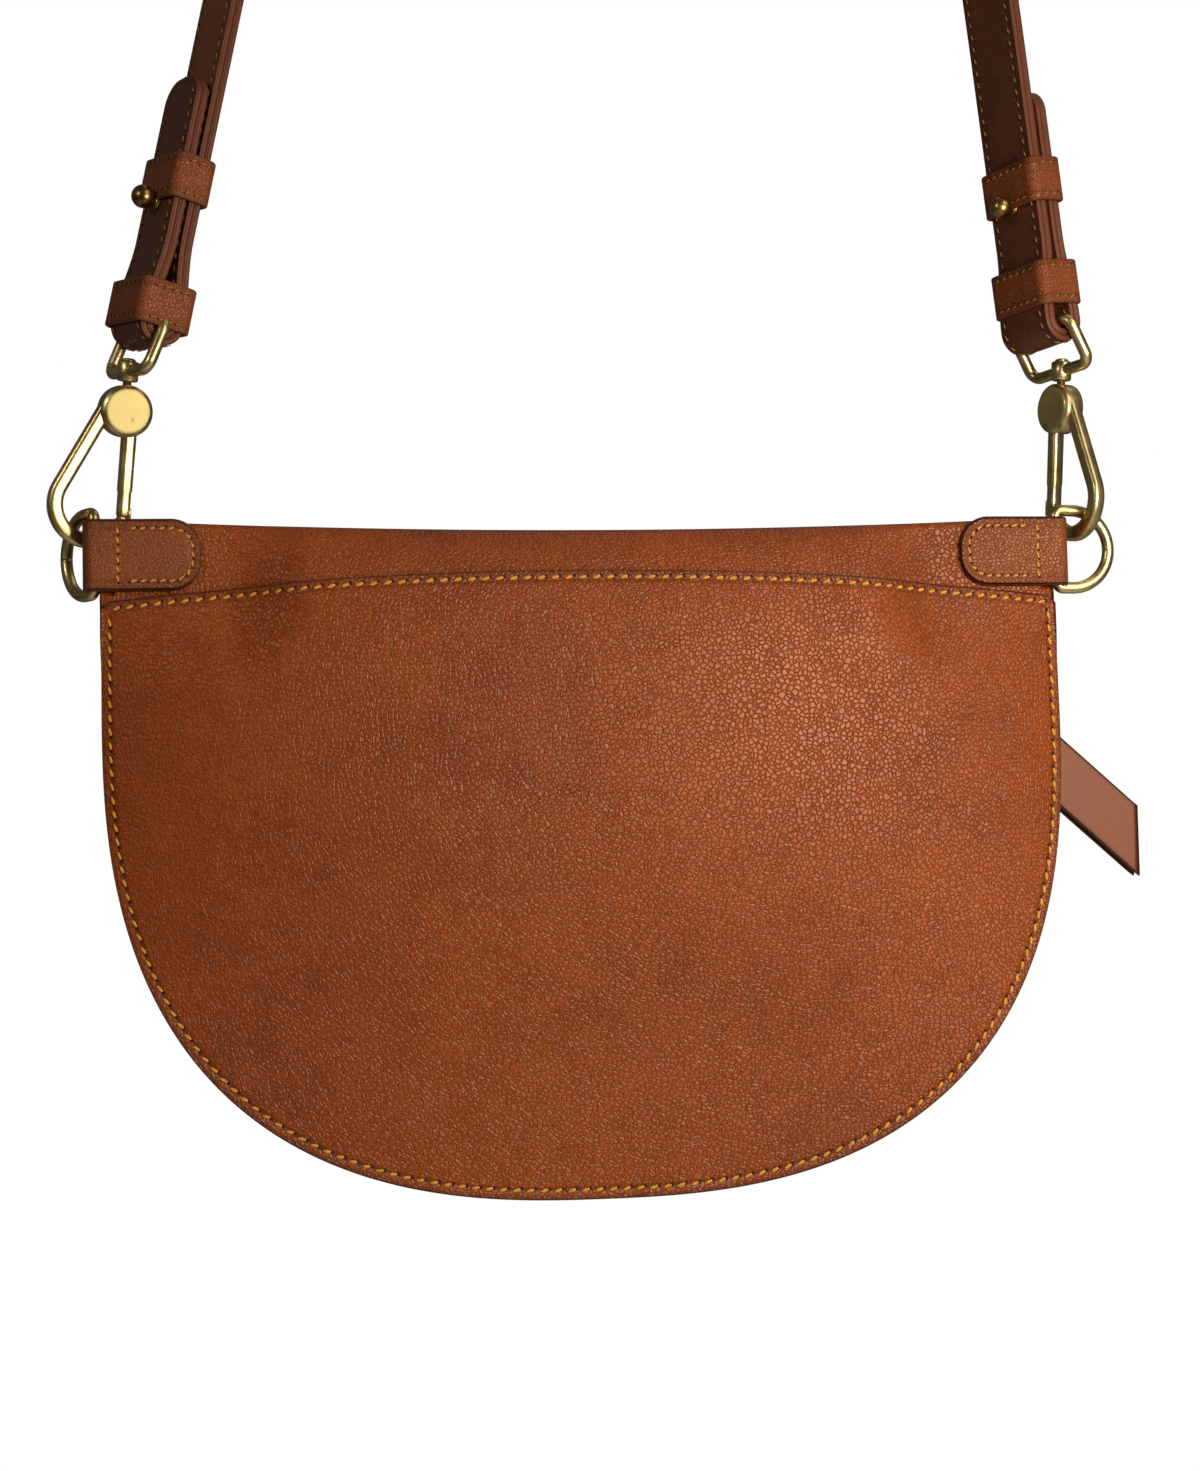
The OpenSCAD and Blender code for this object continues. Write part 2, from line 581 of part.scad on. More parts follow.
function drum_at(side) = contact(side) - pull_u * hook_side(side) - pull_v * hook_up(side);
module in_hook(side) in_frame(drum_at(side), hook_side(side), cross(hook_up(side), hook_side(side)),
    hook_up(side)) children();

spine_angle = 153.8;
spine_up = [sin(spine_angle), 0, -cos(spine_angle)];
spine_start = [-bow_u + bow_r * cos(spine_angle), 0, -bow_v + bow_r * sin(spine_angle)];
root_share = 0.15;
root_v = drum_d * root_share;
spine_len = (root_v - spine_start.z) / spine_up.z;
root_gap = 0.15;
bar_tuck = 0.5;
bar_step = 0.1;
nose_u = gate_u + gate_t / 2;
module on_spine() in_frame(spine_start, cross([0, 1, 0], spine_up), [0, 1, 0], spine_up) children();
module across(w, r) rotate([90, 0, 0]) cylinder(r = r, h = w, center = true);
module bar_section() round_rect(bar_t, bar_w, bar_r);
module hook_bar(side) color(brass_tone) in_hook(side) difference() {
    union() {
        on_spine() translate([0, 0, -bar_tuck]) linear_extrude(spine_len + bar_tuck)
            round_rect(bar_t - bar_step, bar_w - bar_step, bar_r);
        translate([-bow_u, 0, -bow_v]) rotate([90, 0, 0]) rotate([0, 0, spine_angle])
            rotate_extrude(angle = 360 - spine_angle) translate([bow_r, 0]) bar_section();
    }
    translate([-bow_u, -bar_w, -gate_end_v])
        cube([bow_u + nose_u - tongue_t, 2 * bar_w, gate_end_v - drum_d]);
    translate([nose_u, -bar_w, -2 * bow_v]) cube([bar_t, 2 * bar_w, 2 * bow_v]);
}

// The drum holds the spine's root, the gate's knuckle on its pin, and the swivel rivet
drum_r = drum_d / 2;
drum_bevel = 0.6;
gate_open = 18;
spring_w = 0.6;
spring_r = 1.6;
rivet_depth = drum_r / 2;
slot_in = gate_t / 2 / cos(gate_open) + (drum_r - pin_v) * tan(gate_open) + root_gap;
module hook_drum(side) color(brass_tone) in_hook(side) difference() {
    rotate([90, 0, 0]) {
        cylinder(r = drum_r, h = drum_w - 2 * drum_bevel, center = true);
        for (m = [0, 1]) mirror([0, 0, m]) translate([0, 0, drum_w / 2 - drum_bevel])
            cylinder(r1 = drum_r, r2 = drum_r - drum_bevel, h = drum_bevel);
    }
    on_spine() translate([-bar_t / 2 - root_gap, -bar_w / 2 - root_gap, 0])
        cube([bar_t + 2 * root_gap, bar_w + 2 * root_gap, spine_len + root_gap]);
    translate([gate_u - slot_in, -bar_w / 2 - root_gap, -drum_d])
        cube([slot_in + gate_t / 2 + root_gap, bar_w + 2 * root_gap,
            drum_d - pin_v + gate_t / 2 + root_gap]);
    translate([gate_u, 0, -pin_v]) across(2 * drum_w, pin_d / 2 + pin_gap / 2);
    translate([0, 0, rivet_depth]) cylinder(d = rivet_d + pin_gap, h = drum_d);
}
module hook_gate(side) color(brass_tone) in_hook(side) difference() {
    union() {
        translate([gate_u, 0, -pin_v]) across(bar_w, gate_t / 2);
        translate([gate_u, 0, -gate_end_v + root_gap])
            linear_extrude(gate_end_v - root_gap - pin_v) round_rect(gate_t, bar_w, bar_r);
    }
    translate([gate_u, 0, -pin_v]) across(2 * bar_w, pin_d / 2 + pin_gap);
    translate([gate_u, bar_w / 2, -pin_v]) across(2 * (spring_w + root_gap), spring_r + root_gap);
    translate([nose_u - tongue_t - root_gap, -cut_over / 2, -cut_over - bow_v + root_gap]) cube(cut_over);
}
module gate_pin(side) color(brass_tone) in_hook(side)
    translate([gate_u, 0, -pin_v]) across(drum_w, pin_d / 2);
module gate_spring(side) color(brass_tone) in_hook(side)
    translate([gate_u, (bar_w - spring_w) / 2, -pin_v]) difference() {
        across(spring_w, spring_r);
        across(2 * spring_w, pin_d / 2 + pin_gap);
    }
rivet_head_r = 2;
rivet_head_h = 0.8;
module swivel_rivet(side) color(brass_tone) in_hook(side) {
    top = barrel_v + barrel_h / 2 + pin_gap;
    translate([0, 0, rivet_depth + pin_gap]) cylinder(d = rivet_d, h = top - rivet_depth - pin_gap);
    translate([0, 0, top]) cylinder(r = rivet_head_r, h = rivet_head_h);
}

// The strap leaves the rail along a tangent, bows outward as stiff leather does, and ends in a fold
// round the swivel eye's bar
saddle_r = rail_r + ply_t;
eye_rise = eye_h + wire_d;
fold_gap = 0.9;
bend_mid = bend_r + ply_t;
function barrel_at(side) = drum_at(side) + barrel_v * hook_up(side);
function leave_angle(side) = side < 0 ? 180 - top_lean_left : top_lean_right;
function leave_out(side) = [cos(leave_angle(side)), 0, sin(leave_angle(side))];
function strap_up(side) = let (s = side < 0 ? strap_lean_left_share : strap_lean_right_share)
    unit([s[0], s[1], 1]);
function strap_across(side) = let (w = side < 0 ? twist_left : twist_right)
    flat_to([sin(w), -cos(w), 0], strap_up(side));
function strap_out(side) = side * cross(strap_up(side), strap_across(side));
function eye_up(side) = flat_to(side < 0 ? eye_lean_left_share : eye_lean_right_share, strap_across(side));
function eye_bar_at(side) = barrel_at(side) + eye_rise * eye_up(side);
function fold_at(side) = eye_bar_at(side) + (bend_r - wire_r - fold_gap) * strap_up(side);
module in_strap(side) in_frame(fold_at(side), side * strap_across(side), strap_out(side), strap_up(side))
    children();
module hook_eye(side) color(brass_tone) difference() {
    union() {
        in_frame(barrel_at(side), strap_across(side), eye_up(side), cross(strap_across(side), eye_up(side)))
            wire_ring([[-eye_w / 2 - wire_r, 0], [eye_w / 2 + wire_r, 0],
                [eye_w / 2 + wire_r, eye_rise], [-eye_w / 2 - wire_r, eye_rise]],
                [eye_bend, eye_bend, eye_bend, eye_bend], wire_r);
        in_hook(side) translate([0, 0, barrel_v]) cylinder(d = barrel_d, h = barrel_h, center = true);
    }
    in_hook(side) cylinder(d = rivet_d + 2 * pin_gap, h = 2 * barrel_v);
}

// Each ring of the strap is a point midway between the plies, the width direction, the face direction,
// and what the section is smaller by all round and across the width
function tail_len(side) = side < 0 ? tail_left : tail_right;
closed_y = ply_t + tail_gap / 2;
function pair_y(h) = mix(bend_mid, closed_y, ease(h / tail_close));
function strap_point(side, y, h) = fold_at(side) + y * strap_out(side) + h * strap_up(side);
tail_steps = 6;
tip_steps = 3;
// The runs end a little way inside the saddle, one step smaller all round
saddle_tuck = 1.2;
saddle_step = 0.1;
function end_rings(side) = let (w = strap_across(side), n = strap_out(side), u = strap_up(side)) concat(
    [for (k = [tip_steps:-1:0]) let (a = 90 * k / tip_steps, h = tail_len(side) + tip_r * (sin(a) - 1))
        [strap_point(side, pair_y(h), h), w, -n, 0, tip_r * (1 - cos(a))]],
    [for (k = [tail_steps:-1:1]) let (h = tail_close * k / tail_steps)
        [strap_point(side, pair_y(h), h), w, -n, 0, 0]],
    [for (k = [0:bend_steps]) let (a = 180 * k / bend_steps, r = cos(a) * n - sin(a) * u)
        [fold_at(side) + bend_mid * r, w, -r, 0, 0]],
    [for (k = [1:tail_steps]) let (h = tail_close * k / tail_steps)
        [strap_point(side, -pair_y(h), h), w, n, 0, 0]]);
function run_rings(side) = let (a = strap_point(side, -closed_y, tail_len(side) + keeper_h),
        out = leave_out(side), b = saddle_r * out, top = side * [-out.z, 0, out.x],
        reach = norm(b - a), start = reach * strap_up(side), end = reach * top)
    concat([for (k = [0:run_steps - 1]) let (t = k / run_steps, q = 1 - t,
        dir = unit(6 * t * q * (b - a) + q * (q - 2 * t) * start + t * (t - 2 * q) * end),
        w = flat_to(mix(strap_across(side), [0, -1, 0], ease(t)), dir))
        [q * q * (1 + 2 * t) * a + t * t * (3 - 2 * t) * b + t * q * (q * start - t * end),
            w, side * cross(dir, w), 0, 0]],
        [for (past = [-saddle_tuck / 2, saddle_tuck]) [b + past * top, [0, -1, 0], out, saddle_step, 0]]);
module ribbon(rings, low, high) {
    n = len(rings);
    points = [for (r = rings) let (w = r[1] * (strap_w / 2 - r[3] - r[4]),
        a = r[2] * (low + r[3]), b = r[2] * (high - r[3]))
        each [r[0] + w + a, r[0] - w + a, r[0] - w + b, r[0] + w + b]];
    faces = concat([[0, 1, 2], [0, 2, 3]],
        [for (i = [0:n - 2], k = [0:3]) each let (a = 4 * i + k, b = 4 * i + (k + 1) % 4)
            k == 2 ? [[a, a + 4, b], [b, a + 4, b + 4]] : [[a, a + 4, b + 4], [a, b + 4, b]]],
        [let (e = 4 * n - 4) each [[e, e + 2, e + 1], [e, e + 3, e + 2]]]);
    polyhedron(points, faces, convexity = 8);
}
stud_hole = 0.1;
module ply(low, high) color(leather_tan) difference() {
    union() {
        for (side = [-1, 1]) {
            rings = concat(end_rings(side), run_rings(side));
            ribbon([for (r = rings) [r[0], -side * r[1], r[2], r[3], r[4]]], low, high);
        }
        rotate([90, 0, 0]) rotate([0, 0, leave_angle(1)])
            rotate_extrude(angle = leave_angle(-1) - leave_angle(1))
            translate([saddle_r + low, -strap_w / 2]) square([high - low, strap_w]);
    }
    for (side = [-1, 1]) in_strap(side) translate([0, 0, stud_h(side)])
        across(cut_over / 4, stud_post_d / 2 + stud_hole);
}
module strap_face_ply() ply(layer_gap / 4, ply_t);
module strap_lining_ply() ply(-ply_t, 0);

// Keepers and studs, in the frame of the strap's end
module keeper(side, h) color(leather_tan) in_strap(side) {
    inner_w = strap_w + 2 * keeper_gap;
    inner_h = 2 * (pair_y(h - keeper_h / 2) + ply_t + keeper_gap);
    translate([0, 0, h - keeper_h / 2]) linear_extrude(keeper_h) difference() {
        round_rect(inner_w + 2 * keeper_t, inner_h + 2 * keeper_t, keeper_t);
        square([inner_w, inner_h], center = true);
    }
}
function stud_h(side) = side < 0 ? stud_left_h : stud_right_h;
// Drawn with the ball towards +Z, where the leather's outer faces lie one reach from the middle
stud_seat = 0.2;
screw_d = stud_post_d / 2;
module on_stud(side) in_strap(side) translate([0, 0, stud_h(side)])
    rotate([side < 0 ? -90 : 90, 0, 0]) children();
stud_reach = closed_y + ply_t + stud_seat;
module strap_stud(side) color(brass_tone) on_stud(side) difference() {
    union() {
        translate([0, 0, stud_reach + stud_neck_h + stud_d / 2]) sphere(d = stud_d);
        translate([0, 0, stud_reach]) cylinder(d = stud_neck_d, h = stud_neck_h + stud_d / 4);
        translate([0, 0, -stud_reach]) cylinder(d = stud_post_d, h = 2 * stud_reach);
    }
    translate([0, 0, -2 * stud_reach]) cylinder(d = screw_d + pin_gap, h = 5 / 2 * stud_reach);
}
module stud_screw(side) color(brass_tone) on_stud(side) translate([0, 0, -stud_reach]) {
    translate([0, 0, -screw_head_t]) cylinder(d = screw_head_d, h = screw_head_t);
    cylinder(d = screw_d, h = stud_reach);
}

back_panel();
pocket_panel();
front_panel();
gusset();
lining_back();
lining_front();
zip_tape(1);  // zip_tape_upper
zip_tape(-1);  // zip_tape_lower
zip_teeth(1);  // zip_teeth_upper
zip_teeth(-1);  // zip_teeth_lower
zip_top_stop();
zip_bottom_stop();
zip_slider();
zip_pull_ring();
leather_puller();
tab(-1);  // tab_left
tab(1);  // tab_right
dring(-1);  // dring_left
dring(1);  // dring_right
hook_eye(-1);  // hook_eye_left
swivel_rivet(-1);  // swivel_rivet_left
hook_drum(-1);  // hook_drum_left
hook_bar(-1);  // hook_bar_left
hook_gate(-1);  // hook_gate_left
gate_pin(-1);  // gate_pin_left
gate_spring(-1);  // gate_spring_left
hook_eye(1);  // hook_eye_right
swivel_rivet(1);  // swivel_rivet_right
hook_drum(1);  // hook_drum_right
hook_bar(1);  // hook_bar_right
hook_gate(1);  // hook_gate_right
gate_pin(1);  // gate_pin_right
gate_spring(1);  // gate_spring_right
strap_face_ply();
strap_lining_ply();
keeper(-1, keeper_left_low);  // keeper_left_lower
keeper(-1, keeper_left_high);  // keeper_left_upper
keeper(1, keeper_right_low);  // keeper_right_lower
keeper(1, keeper_right_high);  // keeper_right_upper
strap_stud(-1);  // strap_stud_left
strap_stud(1);  // strap_stud_right
stud_screw(-1);  // stud_screw_left
stud_screw(1);  // stud_screw_right
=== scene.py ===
# %% [markdown]
# # A half-moon leather crossbody bag
# This lesson dresses the imported model of a small leather bag that hangs by its strap. The imported model gives the
# sizes and the moving bodies. Each cell builds one kind of piece over it, in the same frame, and prints what it made.
# Lengths in the cells are in millimetres, and are turned into metres when a mesh is made.

# %% Imported model and its frame
import bpy
import numpy as np
from math import sin, cos, tan, acos, pi, radians, sqrt, exp
from mathutils import Vector, Matrix


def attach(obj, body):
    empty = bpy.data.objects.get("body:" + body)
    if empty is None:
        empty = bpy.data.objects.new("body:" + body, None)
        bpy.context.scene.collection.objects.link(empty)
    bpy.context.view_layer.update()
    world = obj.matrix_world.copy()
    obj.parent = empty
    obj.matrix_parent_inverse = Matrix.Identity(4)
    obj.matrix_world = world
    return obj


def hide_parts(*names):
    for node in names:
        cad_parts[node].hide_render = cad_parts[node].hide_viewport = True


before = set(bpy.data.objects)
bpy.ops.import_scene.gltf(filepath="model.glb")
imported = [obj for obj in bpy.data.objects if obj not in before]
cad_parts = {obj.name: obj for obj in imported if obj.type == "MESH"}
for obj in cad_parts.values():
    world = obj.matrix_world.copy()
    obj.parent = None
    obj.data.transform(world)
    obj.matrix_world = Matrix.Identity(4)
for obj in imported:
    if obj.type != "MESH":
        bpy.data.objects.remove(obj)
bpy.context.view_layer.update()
MM = 0.001

# %% [markdown]
# ## Materials
# Every surface is procedural. Leather has a fine grain of small cells with creases between them, broad patches
# where the dye took unevenly, and a pressed line where the thread runs. The creases, the pores and the pressed line
# are darker, partly in the leather's own tone and partly as painted shade in these hollows. The vertex attribute
# "edge" holds the distance to the nearest cut edge in millimetres, so that the shader can press the seam and darken
# the edge.

# %% Material tools
def new_material(name):
    mat = bpy.data.materials.new(name)
    mat.use_nodes = True
    nt = mat.node_tree
    bsdf = nt.nodes["Principled BSDF"]
    return mat, nt, bsdf


def node(nt, kind, **values):
    n = nt.nodes.new(kind)
    for key, value in values.items():
        if key in n.bl_rna.properties:
            setattr(n, key, value)
        else:
            n.inputs[key.replace("_", " ")].default_value = value
    return n


def math_node(nt, op, a, b=0.0, clamp=False):
    n = nt.nodes.new("ShaderNodeMath")
    n.operation = op
    n.use_clamp = clamp
    for i, v in enumerate((a, b)):
        if isinstance(v, (int, float)):
            n.inputs[i].default_value = v
        else:
            nt.links.new(v, n.inputs[i])
    return n.outputs[0]


def ramp(nt, fac, stops):
    n = nt.nodes.new("ShaderNodeValToRGB")
    while len(n.color_ramp.elements) < len(stops):
        n.color_ramp.elements.new(0.5)
    for e, (pos, col) in zip(n.color_ramp.elements, stops):
        e.position = pos
        e.color = (*col, 1.0) if len(col) == 3 else col
    nt.links.new(fac, n.inputs[0])
    return n.outputs[0]


def mix_color(nt, fac, a, b, blend="MIX"):
    n = nt.nodes.new("ShaderNodeMix")
    n.data_type = "RGBA"
    n.blend_type = blend
    for sock, v in ((n.inputs[0], fac), (n.inputs[6], a), (n.inputs[7], b)):
        if isinstance(v, (int, float)):
            sock.default_value = v
        elif isinstance(v, tuple):
            sock.default_value = (*v, 1.0)
        else:
            nt.links.new(v, sock)
    return n.outputs[2]


def bump_to(nt, bsdf, height, strength, distance):
    """Raises the surface by height, at most distance metres."""
    b = node(nt, "ShaderNodeBump", Strength=strength, Distance=distance)
    nt.links.new(height, b.inputs["Height"])
    nt.links.new(b.outputs[0], bsdf.inputs["Normal"])


def object_coords(nt):
    return nt.nodes.new("ShaderNodeTexCoord").outputs["Object"]


# %% Leather
def leather(name, light, mid, dark, grain=860.0, bump=0.7, rough=0.44, seam_at=2.3):
    mat, nt, bsdf = new_material(name)
    co = object_coords(nt)
    broad = node(nt, "ShaderNodeTexNoise", Scale=11.0, Detail=3.0, Roughness=0.5)
    patch = node(nt, "ShaderNodeTexNoise", Scale=75.0, Detail=5.0, Roughness=0.62)
    warp = node(nt, "ShaderNodeTexNoise", Scale=grain * 0.45, Detail=2.0)
    for n in (broad, patch, warp):
        nt.links.new(co, n.inputs["Vector"])
    bend = node(nt, "ShaderNodeVectorMath", operation="SCALE")
    nt.links.new(warp.outputs["Color"], bend.inputs[0])
    bend.inputs["Scale"].default_value = 0.9 / grain
    shift = node(nt, "ShaderNodeVectorMath", operation="ADD")
    nt.links.new(co, shift.inputs[0])
    nt.links.new(bend.outputs[0], shift.inputs[1])
    cells = node(nt, "ShaderNodeTexVoronoi", Scale=grain)
    cells.feature = "DISTANCE_TO_EDGE"
    nt.links.new(shift.outputs[0], cells.inputs["Vector"])
    crease = math_node(nt, "MULTIPLY", cells.outputs["Distance"], 5.0, clamp=True)
    soft = math_node(nt, "POWER", crease, 0.6)
    pores = node(nt, "ShaderNodeTexNoise", Scale=grain * 2.4, Detail=3.0, Roughness=0.6)
    nt.links.new(co, pores.inputs["Vector"])
    edge = node(nt, "ShaderNodeAttribute")
    edge.attribute_name = "edge"
    e = edge.outputs["Fac"]
    off = math_node(nt, "DIVIDE", math_node(nt, "SUBTRACT", e, seam_at), 0.75)
    press = math_node(nt, "EXPONENT", math_node(nt, "MULTIPLY", math_node(nt, "MULTIPLY", off, off), -1.0))
    tone = math_node(nt, "ADD", math_node(nt, "MULTIPLY", broad.outputs["Fac"], 0.5),
                     math_node(nt, "MULTIPLY", patch.outputs["Fac"], 0.5))
    col = ramp(nt, tone, [(0.25, dark), (0.5, mid), (0.75, light)])
    # Painted shade, partly the grain's own tone: pores and the creases between grain cells are darkened.
    pore_tone_and_shade = math_node(nt, "MULTIPLY", math_node(nt, "SUBTRACT", 0.53, pores.outputs["Fac"]), 7.0, clamp=True)
    col = mix_color(nt, math_node(nt, "MULTIPLY", pore_tone_and_shade, 0.4), col, tuple(0.55 * c for c in dark))
    crease_tone_and_shade = math_node(nt, "MULTIPLY", math_node(nt, "SUBTRACT", 1.0, soft), 0.55)
    col = mix_color(nt, crease_tone_and_shade, col, tuple(0.5 * c for c in dark))
    rim = math_node(nt, "MULTIPLY", math_node(nt, "SUBTRACT", 1.0, math_node(nt, "DIVIDE", e, 1.3), clamp=True), 0.62)
    col = mix_color(nt, rim, col, tuple(0.42 * c for c in dark))
    # Painted shade, partly the compressed leather's own colour: the pressed stitch line is darkened.
    col = mix_color(nt, math_node(nt, "MULTIPLY", press, 0.42), col, tuple(0.6 * c for c in dark))
    nt.links.new(col, bsdf.inputs["Base Color"])
    rgh = math_node(nt, "ADD", rough - 0.06, math_node(nt, "MULTIPLY", patch.outputs["Fac"], 0.14))
    nt.links.new(rgh, bsdf.inputs["Roughness"])
    bsdf.inputs["Specular IOR Level"].default_value = 0.36
    bsdf.inputs["Specular Tint"].default_value = (1.0, 0.74, 0.54, 1.0)
    height = math_node(nt, "ADD", math_node(nt, "MULTIPLY", soft, 0.75),
                       math_node(nt, "MULTIPLY", pores.outputs["Fac"], 0.2))
    height = math_node(nt, "SUBTRACT", height, math_node(nt, "MULTIPLY", press, 1.5))
    bump_to(nt, bsdf, height, bump, 0.00045)
    return mat


def brass(name, bright, dull, rough=0.3):
    mat, nt, bsdf = new_material(name)
    co = object_coords(nt)
    cloud = node(nt, "ShaderNodeTexNoise", Scale=110.0, Detail=3.0, Roughness=0.55)
    fine = node(nt, "ShaderNodeTexNoise", Scale=1500.0, Detail=2.0)
    for n in (cloud, fine):
        nt.links.new(co, n.inputs["Vector"])
    wear = math_node(nt, "ADD", math_node(nt, "MULTIPLY", cloud.outputs["Fac"], 0.9),
                     math_node(nt, "MULTIPLY", fine.outputs["Fac"], 0.1))
    nt.links.new(ramp(nt, wear, [(0.3, dull), (0.5, bright), (0.7, tuple(min(1, 1.2 * c) for c in bright))]),
                 bsdf.inputs["Base Color"])
    nt.links.new(math_node(nt, "ADD", rough, math_node(nt, "MULTIPLY", cloud.outputs["Fac"], 0.16)),
                 bsdf.inputs["Roughness"])
    bsdf.inputs["Metallic"].default_value = 1.0
    bump_to(nt, bsdf, fine.outputs["Fac"], 0.05, 0.00004)
    return mat


def cloth(name, colour, threads=1700.0, rough=0.85):
    mat, nt, bsdf = new_material(name)
    co = object_coords(nt)
    parts = []
    for axis in ("X", "Z"):
        w = node(nt, "ShaderNodeTexWave", Scale=threads / 6.283, Distortion=0.6, Detail=1.0)
        w.wave_type = "BANDS"
        w.bands_direction = axis
        nt.links.new(co, w.inputs["Vector"])
        parts.append(w.outputs["Fac"])
    weave = math_node(nt, "MULTIPLY", math_node(nt, "ADD", parts[0], parts[1]), 0.5)
    nt.links.new(ramp(nt, weave, [(0.2, tuple(0.6 * c for c in colour)), (0.8, colour)]), bsdf.inputs["Base Color"])
    bsdf.inputs["Roughness"].default_value = rough
    bump_to(nt, bsdf, weave, 0.4, 0.0001)
    return mat


def thread_material(name, colour):
    mat, nt, bsdf = new_material(name)
    co = object_coords(nt)
    twist = node(nt, "ShaderNodeTexNoise", Scale=1900.0, Detail=3.0)
    nt.links.new(co, twist.inputs["Vector"])
    nt.links.new(ramp(nt, twist.outputs["Fac"], [(0.3, tuple(0.55 * c for c in colour)), (0.6, colour)]),
                 bsdf.inputs["Base Color"])
    bsdf.inputs["Roughness"].default_value = 0.7
    bsdf.inputs["Specular IOR Level"].default_value = 0.1
    bump_to(nt, bsdf, twist.outputs["Fac"], 0.5, 0.0001)
    return mat


TAN_LIGHT, TAN_MID, TAN_DARK = (0.275, 0.051, 0.003), (0.215, 0.036, 0.002), (0.125, 0.02, 0.001)
M_BAG = leather("bag_leather", TAN_LIGHT, TAN_MID, TAN_DARK, grain=760.0, bump=0.5, rough=0.4)
M_TRIM = leather("trim_leather", (0.24, 0.056, 0.009), (0.19, 0.041, 0.007), (0.12, 0.024, 0.004),
                 grain=1000.0, bump=0.45, seam_at=2.0)
M_STRAP = leather("strap_leather", (0.25, 0.066, 0.02), (0.2, 0.05, 0.015), (0.12, 0.03, 0.01),
                  grain=1100.0, bump=0.25, seam_at=2.0)
# The strap's back ply is a darker copy of the strap leather: partly its own colour, partly painted shade on the
# strap's inner face.
M_INNER_SHADED = leather("strap_inner_leather_shaded", (0.14, 0.036, 0.013), (0.10, 0.026, 0.01), (0.06, 0.016, 0.006),
                  grain=1100.0, bump=0.25, seam_at=2.0)
# The gusset is a darker copy of the bag leather: painted shade on the band recessed between the panels.
M_GUSSET_SHADED = leather("gusset_leather", TAN_MID, (0.16, 0.034, 0.006), (0.09, 0.018, 0.004), seam_at=-9.0)
M_EDGE = leather("edge_paint", (0.22, 0.055, 0.018), (0.18, 0.043, 0.014), (0.13, 0.028, 0.01),
                 grain=2500.0, bump=0.1, rough=0.5, seam_at=-9.0)
M_BRASS = brass("antique_brass", (0.56, 0.41, 0.17), (0.3, 0.19, 0.065), rough=0.24)
M_STUD = brass("stud_brass", (0.36, 0.2, 0.055), (0.12, 0.06, 0.02), rough=0.24)
M_FACE = brass("drum_face", (0.40, 0.30, 0.11), (0.32, 0.235, 0.085), rough=0.48)
M_THREAD = thread_material("golden_thread", (0.56, 0.23, 0.03))
# Needle holes: a near-black body at each stitch, painted shade in the hole.
M_HOLE_SHADE = thread_material("needle_hole_shade", (0.05, 0.013, 0.003))
M_THREAD_DARK = thread_material("brown_thread", (0.26, 0.115, 0.03))
M_LINING = cloth("lining_cloth", (0.42, 0.33, 0.22))
M_TAPE = cloth("zip_cloth", (0.13, 0.06, 0.03), threads=2600.0)
print("materials:", len(bpy.data.materials))

# %% [markdown]
# ## Mesh tools
# A shell is a grid of points on the outer face of the leather. It gets an inner face one leather thickness below,
# and a rounded, painted edge all round. A sweep carries a section along a list of frames.

# %% Mesh tools
def unit(v):
    v = np.asarray(v, float)
    return v / np.linalg.norm(v)


def add_piece(name, verts, faces, mats, body, replaces=(), mat_index=None, edge=None, smooth=True):
    me = bpy.data.meshes.new(name)
    me.from_pydata([tuple(p) for p in np.asarray(verts, float) * MM], [], [tuple(int(i) for i in f) for f in faces])
    me.validate()
    for m in mats:
        me.materials.append(m)
    if mat_index is not None and len(mat_index) == len(me.polygons):
        me.polygons.foreach_set("material_index", np.asarray(mat_index, np.int32))
    if smooth:
        me.polygons.foreach_set("use_smooth", np.ones(len(me.polygons), bool))
    if edge is not None:
        at = me.attributes.new("edge", "FLOAT", "POINT")
        at.data.foreach_set("value", np.asarray(edge, np.float32))
    me.update()
    ob = bpy.data.objects.new(name, me)
    bpy.context.scene.collection.objects.link(ob)
    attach(ob, body)
    if replaces:
        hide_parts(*replaces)
    return ob


def paint_nodes(material, *names):
    for n in names:
        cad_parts[n].data.materials.clear()
        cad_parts[n].data.materials.append(material)


def grid_normals(g):
    du = np.gradient(g, axis=0)
    dv = np.gradient(g, axis=1)
    n = np.cross(du, dv)
    return n / np.maximum(np.linalg.norm(n, axis=2, keepdims=True), 1e-9)


